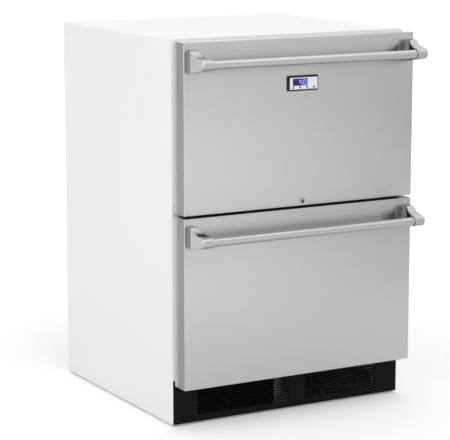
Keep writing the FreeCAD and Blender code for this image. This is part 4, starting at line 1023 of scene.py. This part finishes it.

# %% [markdown]
# Plates hold the pack at its ends, in a grey darkened as painted shade behind the grille.
# The right one shows through the louvres at the right of the left window. The tubes run
# through fins and plates from end to end, so each row is one spun tube, and the bends behind
# the plates, which nothing shows, are left out.

# %% Condenser plates and tubes
LEFT_PLATE = 1.2 * MM
RIGHT_PLATE = 36 * MM
PLATE_EASE = 0.4 * MM
TUBE_ROWS = 6
TUBE_RADIUS = 4 * MM
TUBE_TIP = 0.001 * MM
# The plates' dark grey is painted shade behind the grille.
plate_steel = plated(
    "end plate, darkened as painted shade", (0.13, 0.13, 0.132), (0.24, 0.24, 0.242), rough=0.55, grain=90.0, depth=0.0002
)
form = bmesh.new()
for start, width in ((low.x, LEFT_PLATE), (plate_x, RIGHT_PLATE)):
    block(form, (start, low.y + 0.3 * MM, low.z), (start + width, high.y, high.z - MM))
round_edges(form, sharp_edges(form, 60), PLATE_EASE, 2)
piece("condenser_end_plates", form, plate_steel, "cabinet", "aluminium", "condenser")

form = bmesh.new()
y = (low.y + high.y) / 2
start, end = low.x + 2 * MM, high.x - MM
outline = [(start, TUBE_TIP), (start, TUBE_RADIUS), (end, TUBE_RADIUS), (end, TUBE_TIP)]
for row in range(TUBE_ROWS):
    z = low.z + (row + 0.5) * (high.z - low.z) / TUBE_ROWS
    spun(form, [(x, y, z + radius) for x, radius in outline], (0, y, z), (1, 0, 0), 12)
piece("condenser_tubes", form, copper, "cabinet", "aluminium", "condenser")

# %% [markdown]
# The bins are folded from one enamelled sheet: a deep tub whose rim is turned out and down
# at the sides and the rear, to stiffen it. An open block is rounded at the rear corners and
# round the floor, and its top edge is drawn out and down. The floor has to face down before
# solidify gives the sheet its gauge, because the wall grows against the normals.

# %% Drawer bins
UP = Vector((0, 0, 1))
BIN_RIM = 6 * MM
BIN_GAUGE = 2 * MM
BIN_CORNER = 14 * MM
BIN_FLOOR_ROUND = 7 * MM
RIM_TURN = 2.5 * MM


def draw_out(form):
    """Draws the open edge out into new faces and gives the new vertices."""
    edges = [edge for edge in form.edges if edge.is_boundary]
    return new_verts(bmesh.ops.extrude_edge_only(form, edges=edges))


def low_edge(edge, limit):
    """Whether an edge between two faces lies below a height."""
    return edge.is_manifold and max(vert.co.z for vert in edge.verts) < limit


for side in SIDES:
    low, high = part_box(f"{side}_bin")
    rear = high.y - BIN_RIM
    form = bmesh.new()
    block(form, (low.x + BIN_RIM, low.y, low.z), (high.x - BIN_RIM, rear, high.z))
    bmesh.ops.delete(form, geom=facing(form, UP), context="FACES_ONLY")
    rear_corners = [edge for edge in edges_along(form, 2) if edge.verts[0].co.y > rear - MM]
    round_edges(form, rear_corners, BIN_CORNER, 6)
    floor_edges = [edge for edge in form.edges if low_edge(edge, low.z + MM)]
    round_edges(form, floor_edges, BIN_FLOOR_ROUND, 5)
    for vert in draw_out(form):
        vert.co.x *= high.x / (high.x - BIN_RIM)
        vert.co.y = low.y + (vert.co.y - low.y) * (high.y - low.y) / (rear - low.y)
    bmesh.ops.translate(form, verts=draw_out(form), vec=(0, 0, -RIM_TURN))
    bmesh.ops.recalc_face_normals(form, faces=form.faces[:])
    form.normal_update()
    if max(form.faces, key=lambda face: face.calc_area()).normal.z > 0:
        bmesh.ops.reverse_faces(form, faces=form.faces[:])
        form.normal_update()
    bmesh.ops.solidify(form, geom=form.faces[:], thickness=BIN_GAUGE)
    piece(f"{side}_bin_tray", form, bin_enamel, f"{side}_drawer", "bin_enamel", f"{side}_bin")

# %% [markdown]
# Pan-head screws hold the drawer rails to the bins. A short cone makes the head, and
# insetting its top and pushing it in makes the socket. There are many heads, so each has
# fewer than thirty faces.

# %% Rail screws
# A head's proportions, as shares of its radius or its height.
HEAD_TAPER = 0.8
SOCKET_BORDER = 0.38
SOCKET_DEPTH = 0.6
RAIL_WEB = 6.8 * MM
RAIL_HEAD_RADIUS = 4.2 * MM
RAIL_HEAD_HEIGHT = 2.4 * MM
SCREW_SHARES = (0.12, 0.37, 0.62, 0.87)  # of a rail's length


def screw_head(form, place, radius, height, sides=10):
    """A pan head that stands out along the local Z of a place."""
    cone = bmesh.ops.create_cone(
        form, cap_ends=True, cap_tris=False, segments=sides, radius1=radius, radius2=HEAD_TAPER * radius,
        depth=height, matrix=place @ Matrix.Translation((0, 0, height / 2)),
    )
    out = (place.to_3x3() @ UP).normalized()
    faces = {face for vert in cone["verts"] for face in vert.link_faces}
    top = max(faces, key=lambda face: face.calc_center_median().dot(out))
    bmesh.ops.inset_region(form, faces=[top], thickness=SOCKET_BORDER * radius)
    shift(form, [top], out * -SOCKET_DEPTH * height)


for side in SIDES:
    low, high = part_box(f"{side}_drawer_rails")
    middle_z = (low.z + high.z) / 2
    form = bmesh.new()
    for share in SCREW_SHARES:
        y = low.y + share * (high.y - low.y)
        for turn in (1, -1):
            outwards = Matrix.Rotation(turn * math.pi / 2, 4, "Y")
            place = Matrix.Translation((turn * (high.x - RAIL_WEB), y, middle_z)) @ outwards
            screw_head(form, place, RAIL_HEAD_RADIUS, RAIL_HEAD_HEIGHT)
    piece(f"{side}_rail_screws", form, zinc_steel, f"{side}_drawer", "zinc_steel")

# %% [markdown]
# The back is closed by two galvanised sheets. The CAD sheets are a millimetre thick. The new
# ones are thinner, so that beads and screws stand inside the same millimetre.

# %% Rear panel
SHEET_GAUGE = 0.4 * MM
SHEET_ROUND = 1.5 * MM
panel_low, panel_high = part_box("rear_panel")
outside_y = panel_low.y + SHEET_GAUGE
form = bmesh.new()
block(form, panel_low, (panel_high.x, outside_y, panel_high.z))
top_corners = [edge for edge in edges_along(form, 1) if edge.verts[0].co.z > panel_low.z + MM]
round_edges(form, top_corners, SHEET_ROUND, 3)
piece("rear_panel_sheet", form, galvanised, "cabinet", "galvanised_steel", "rear_panel")

# %% [markdown]
# Long beads, pressed into the upper sheet, stiffen it. Cutting them into the sheet would
# leave long thin faces round them, so each is a low block with round ends, laid on it. Its
# crest is inset and raised in one step, which slopes its sides.

# %% Rear panel beads
BEAD_PLACES = (-0.20, -0.10, 0.0, 0.10, 0.20)
BEAD_WIDTH = 16 * MM
BEAD_ROUND = 7.8 * MM
BEAD_SLOPE = 1.6 * MM
BEAD_RISE = 0.5 * MM
BEAD_FOOT = 70 * MM
BEAD_HEAD = 60 * MM
form = bmesh.new()
for x in BEAD_PLACES:
    start = (x - BEAD_WIDTH / 2, panel_low.y + 0.1 * MM, panel_low.z + BEAD_FOOT)
    block(form, start, (x + BEAD_WIDTH / 2, outside_y + 0.02 * MM, panel_high.z - BEAD_HEAD))
round_edges(form, edges_along(form, 1), BEAD_ROUND, 8)
form.normal_update()
bmesh.ops.inset_individual(form, faces=facing(form, BACK), thickness=BEAD_SLOPE, depth=BEAD_RISE)
piece("rear_panel_beads", form, galvanised, "cabinet", "galvanised_steel", "rear_panel")

# %% [markdown]
# The lower sheet has three columns of air slots and a hole for the cord's gland. A Boolean
# modifier would cut them too, but leaves ragged faces. Here one flat face is cut along the
# edges of all the openings with bisect planes, the faces inside them are deleted, and
# solidify thickens what is left.

# %% Rear cover
SLOT_LENGTH = 120 * MM
SLOT_HEIGHT = 5 * MM
SLOT_COLUMN = 150 * MM
SLOT_PITCH = 20 * MM
SLOT_ROWS = 6
FIRST_SLOT = 92.5 * MM
GLAND_HOLE = 12 * MM
cover_low, cover_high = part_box("rear_cover")
gland_low, gland_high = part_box("cord_gland")
gland = (gland_low + gland_high) / 2
openings = [(gland.x, gland.z, GLAND_HOLE, GLAND_HOLE)]
for row in range(SLOT_ROWS):
    z = cover_low.z + FIRST_SLOT + row * SLOT_PITCH
    openings += [(column * SLOT_COLUMN, z, SLOT_LENGTH, SLOT_HEIGHT) for column in (-1, 0, 1)]


def cut(form, point, normal):
    """Cuts every face of a form along a plane, and keeps both sides."""
    bmesh.ops.bisect_plane(form, geom=everything(form), plane_co=point, plane_no=normal)


def is_open(face):
    """Whether the middle of a face is in an opening."""
    middle = face.calc_center_median()
    return any(
        abs(middle.x - x) < width / 2 and abs(middle.z - z) < height / 2
        for x, z, width, height in openings
    )


form = bmesh.new()
left, right, bottom, top = cover_low.x, cover_high.x, cover_low.z, cover_high.z
corners = [(left, bottom), (left, top), (right, top), (right, bottom)]
form.faces.new(dots(form, [(x, outside_y, z) for x, z in corners]))
for x in sorted({round(x + turn * width / 2, 6) for x, z, width, height in openings for turn in (-1, 1)}):
    cut(form, (x, 0, 0), (1, 0, 0))
for z in sorted({round(z + turn * height / 2, 6) for x, z, width, height in openings for turn in (-1, 1)}):
    cut(form, (0, 0, z), (0, 0, 1))
bmesh.ops.delete(form, geom=[face for face in form.faces if is_open(face)], context="FACES")
form.normal_update()
bmesh.ops.solidify(form, geom=form.faces[:], thickness=SHEET_GAUGE)
piece("rear_cover_sheet", form, galvanised, "cabinet", "galvanised_steel", "rear_cover")

# %% [markdown]
# Flat screws stand round both sheets, well in from the edges, where the cabinet's folded
# seam is behind them.

# %% Rear screws
REAR_HEAD_RADIUS = 4.5 * MM
REAR_HEAD_HEIGHT = 0.55 * MM
EDGE_X = 0.291
EDGE_HEIGHTS = (0.024, 0.150, 0.284, 0.310, 0.490, 0.670, 0.850)
ROW_PLACES = (-0.15, 0.0, 0.15)
ROW_HEIGHTS = (0.024, 0.284, 0.310, 0.861)
places = [(turn * EDGE_X, z) for turn in (-1, 1) for z in EDGE_HEIGHTS]
places += [(x, z) for x in ROW_PLACES for z in ROW_HEIGHTS]
form = bmesh.new()
for x, z in places:
    place = Matrix.Translation((x, outside_y, z)) @ Matrix.Rotation(-math.pi / 2, 4, "X")
    screw_head(form, place, REAR_HEAD_RADIUS, REAR_HEAD_HEIGHT, sides=12)
piece("rear_screws", form, zinc_steel, "cabinet", "galvanised_steel")

# %% [markdown]
# The compressor is a black pot, welded round its middle. A spun outline gives the lower
# shell, the lid that sits inside it and the domed top. Its base plate is a rounded block.

# %% Compressor
POT_RADIUS = 64 * MM
LID_RADIUS = 58 * MM
DOME_RISE = 38 * MM
SEAM_DROP = 60 * MM
PLATE_THICKNESS = 3 * MM
PLATE_HALF = 60 * MM
PLATE_ROUND = 12 * MM
low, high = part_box("compressor")
centre = (low + high) / 2
seam_z = high.z - SEAM_DROP
bottom = low.z + PLATE_THICKNESS
outline = [(0.0, high.z)]
for step in range(1, 9):
    turn = step * math.pi / 16
    outline.append((LID_RADIUS * math.sin(turn), high.z - DOME_RISE * (1 - math.cos(turn))))
outline += [
    (LID_RADIUS, seam_z + 3 * MM), (POT_RADIUS, seam_z), (POT_RADIUS, seam_z - 8 * MM),
    (POT_RADIUS - MM, seam_z - 9 * MM), (POT_RADIUS - MM, low.z + 30 * MM),
    (POT_RADIUS - 8 * MM, low.z + 12 * MM), (POT_RADIUS - 22 * MM, bottom), (0.0, bottom),
]
form = bmesh.new()
half_outline = [(centre.x + radius, centre.y, z) for radius, z in outline]
spun(form, half_outline, (centre.x, centre.y, 0), (0, 0, 1))
piece("compressor_pot", form, black_coat, "cabinet", "black_paint", "compressor")

form = bmesh.new()
block(form, (low.x, centre.y - PLATE_HALF, low.z), (high.x, centre.y + PLATE_HALF, bottom))
round_edges(form, edges_along(form, 2), PLATE_ROUND, 6)
piece("compressor_plate", form, black_coat, "cabinet", "black_paint", "compressor")

# %% [markdown]
# Four legs level the cabinet. A leg is a hexagonal foot under a threaded stud. The thread
# is a spun zigzag, which looks like a screw at this size and needs no helix.

# %% Levelling legs
STUD_RADIUS = 5 * MM
ROOT_RADIUS = STUD_RADIUS - 0.8 * MM
THREAD_PITCH = 1.5 * MM
FOOT_TOP = 4.7 * MM
FOOT_EASE = 0.8 * MM
for corner in ("front_left", "front_right", "rear_left", "rear_right"):
    low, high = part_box(f"{corner}_leg")
    x, y = (low.x + high.x) / 2, (low.y + high.y) / 2
    across_x = high.x - low.x > high.y - low.y
    turned = Matrix.Rotation(math.pi / 2 if across_x else 0, 4, "Z")
    reach = max(high.x - low.x, high.y - low.y) / 2
    form = bmesh.new()
    bmesh.ops.create_cone(
        form, cap_ends=True, cap_tris=False, segments=6, radius1=reach, radius2=reach, depth=FOOT_TOP,
        matrix=Matrix.Translation((x, y, low.z + FOOT_TOP / 2)) @ turned,
    )
    round_edges(form, sharp_edges(form, 40), FOOT_EASE, 2)
    piece(f"{corner}_foot", form, zinc_steel, f"{corner}_leg", "zinc_steel", f"{corner}_leg")

    stud_z = low.z + FOOT_TOP - 0.2 * MM
    outline = [(0.0, stud_z), (ROOT_RADIUS, stud_z)]
    z = low.z + FOOT_TOP + MM
    while z < high.z - 2 * THREAD_PITCH:
        outline += [(ROOT_RADIUS, z), (STUD_RADIUS, z + THREAD_PITCH / 2)]
        z += THREAD_PITCH
    outline += [(STUD_RADIUS - MM, high.z - MM), (STUD_RADIUS - 2 * MM, high.z), (0.0, high.z)]
    form = bmesh.new()
    spun(form, [(x + radius, y, z) for radius, z in outline], (x, y, 0), (0, 0, 1), 16)
    piece(f"{corner}_stud", form, zinc_steel, f"{corner}_leg", "zinc_steel", f"{corner}_leg")

# %% [markdown]
# The stage is a pale floor under a white surround. The floor takes real light, so it
# keeps the soft shadow of the cabinet. A little light of its own, for the camera and for
# what metal mirrors, lifts the rest of it to the white behind, and grows away from the
# cabinet.

# %% Floor
FLOOR_HALF = 14
LIFT_START = 0.5
LIFT_END = 2.2
LIFT_NEAR = 0.20
LIFT_FAR = 0.50


def any_ray(tree, *kinds):
    """1 for rays of any of these kinds, and 0 for others."""
    found = tree.node("ShaderNodeLightPath", out=kinds[0])
    for kind in kinds[1:]:
        found = found.math("MAXIMUM", found, tree.node("ShaderNodeLightPath", out=kind))
    return found


floor_finish = Finish("pale floor")
mottle = floor_finish.noise(2.0)
away = floor_finish.node(
    "ShaderNodeVectorMath", {"operation": "LENGTH"}, {0: floor_finish.place()}, out="Value"
)
glow_level = floor_finish.ramp(away, LIFT_START, LIFT_END, LIFT_NEAR, LIFT_FAR, "SMOOTHSTEP")
lift = any_ray(floor_finish, "Is Camera Ray", "Is Glossy Ray") * glow_level
pale_floor = floor_finish.set(
    Base_Color=floor_finish.blend(mottle, (0.80, 0.80, 0.80), (0.82, 0.82, 0.82)),
    Roughness=0.9,
    Emission_Color=floor_finish.blend(lift, (0, 0, 0), (1, 1, 1)),
    Emission_Strength=1.0,
)
form = bmesh.new()
bmesh.ops.create_grid(form, x_segments=4, y_segments=4, size=FLOOR_HALF)
floor = shown("floor", form, pale_floor)

# %% [markdown]
# The surround is the world. Camera rays, and the rays that metal and glass send out,
# see plain white. Diffuse light comes from a softer grey, so that white paint stays a
# little below white and keeps its shape.

# %% World
SOFT_GREY = 0.85
world = bpy.data.worlds.new("white surround")
bpy.context.scene.world = world
world.use_nodes = True
surround = NodeTree(world.node_tree)
seen = any_ray(surround, "Is Camera Ray", "Is Transmission Ray", "Is Glossy Ray")
background = surround.nodes["Background"]
surround.feed(background.inputs["Strength"], surround.ramp(seen, 0.0, 1.0, SOFT_GREY, 1.0))
surround.feed(background.inputs["Color"], (1, 1, 1, 1))
print("world", world.name)

# %% [markdown]
# Four soft boxes light the set. The largest stands at the left and models the white
# side. One over the camera lights the fronts, one overhead lights the top, and a low wide
# one behind the cabinet, above the picture, is there to be mirrored by the top edges.

# %% Lamps
def lamp(name, place, target, size, power):
    """A square soft box at a place, turned towards a target."""
    light = bpy.data.lights.new(name, "AREA")
    light.shape = "SQUARE"
    light.size = size
    light.energy = power
    made = bpy.data.objects.new(name, light)
    made.location = place
    made.rotation_euler = (Vector(target) - Vector(place)).to_track_quat("-Z", "Y").to_euler()
    bpy.context.scene.collection.objects.link(made)
    print(name, power, "watts")


CABINET_MIDDLE = (0, 0, 0.45)
CABINET_TOP = (0, 0, 0.87)
lamp("left box", (-3.4, -1.4, 2.2), CABINET_MIDDLE, size=3.0, power=34)
lamp("front box", (-0.6, -3.2, 3.4), CABINET_MIDDLE, size=1.5, power=24)
lamp("top box", (1.3, -0.8, 3.4), CABINET_MIDDLE, size=1.3, power=4)
lamp("back box", (1.6, 3.4, 1.75), CABINET_TOP, size=2.2, power=4)

# %% [markdown]
# Steel shows what stands around it. A length of grey gauze at the right front, which the
# camera itself doesn't see, is mirrored in the fronts. It thickens to the right, and so
# gives them their slow fall in brightness from left to right. Its ends bow away from the
# cabinet, and its lower half leans in towards it.

# %% Grey gauze
THIN_X = 0.24
THICK_X = 2.2
GAUZE_MIDDLE = Vector((1.3, -1.35, 0.45))
GAUZE_HALF_LENGTH = 1.1
GAUZE_HALF_HEIGHT = 0.45
GAUZE_BOW = 0.1
GAUZE_LEAN = 0.3
gauze_finish = Finish("grey gauze")
gauze_weave = gauze_finish.noise(4.0)
grey_gauze = gauze_finish.set(
    Base_Color=gauze_finish.blend(gauze_weave, (0.50, 0.50, 0.50), (0.56, 0.56, 0.56)),
    Roughness=0.9,
    Alpha=gauze_finish.ramp(gauze_finish.along("X"), THIN_X, THICK_X),
)
form = bmesh.new()
bmesh.ops.create_grid(form, x_segments=8, y_segments=4, size=1)
for vert in form.verts:
    across, up = vert.co.x, vert.co.y
    bow = GAUZE_BOW * across ** 2
    lean = GAUZE_LEAN * max(0, -up)
    vert.co = GAUZE_MIDDLE + Vector((GAUZE_HALF_LENGTH * across, lean - bow, GAUZE_HALF_HEIGHT * up))
gauze = shown("grey_gauze", form, grey_gauze)
gauze.visible_camera = False

# %% [markdown]
# The camera stands where the photographer stood: to the left of the cabinet, a little
# above it, and far enough back for a long lens.

# %% Camera
CAMERA_PLACE = (-2.2284, -3.8808, 1.2328)
LOOK_DOWN = 10.375
LOOK_RIGHT = 29.35
camera_data = bpy.data.cameras.new("camera")
camera_data.sensor_fit = "HORIZONTAL"
camera_data.sensor_width = 36
camera_data.lens = 152.29
camera_data.clip_end = 50
camera = bpy.data.objects.new("camera", camera_data)
camera.location = CAMERA_PLACE
camera.rotation_euler = (math.radians(90 - LOOK_DOWN), 0, math.radians(-LOOK_RIGHT))
bpy.context.scene.collection.objects.link(camera)
bpy.context.scene.camera = camera
bpy.context.scene.view_settings.view_transform = "Standard"
print("camera", camera.location[:])
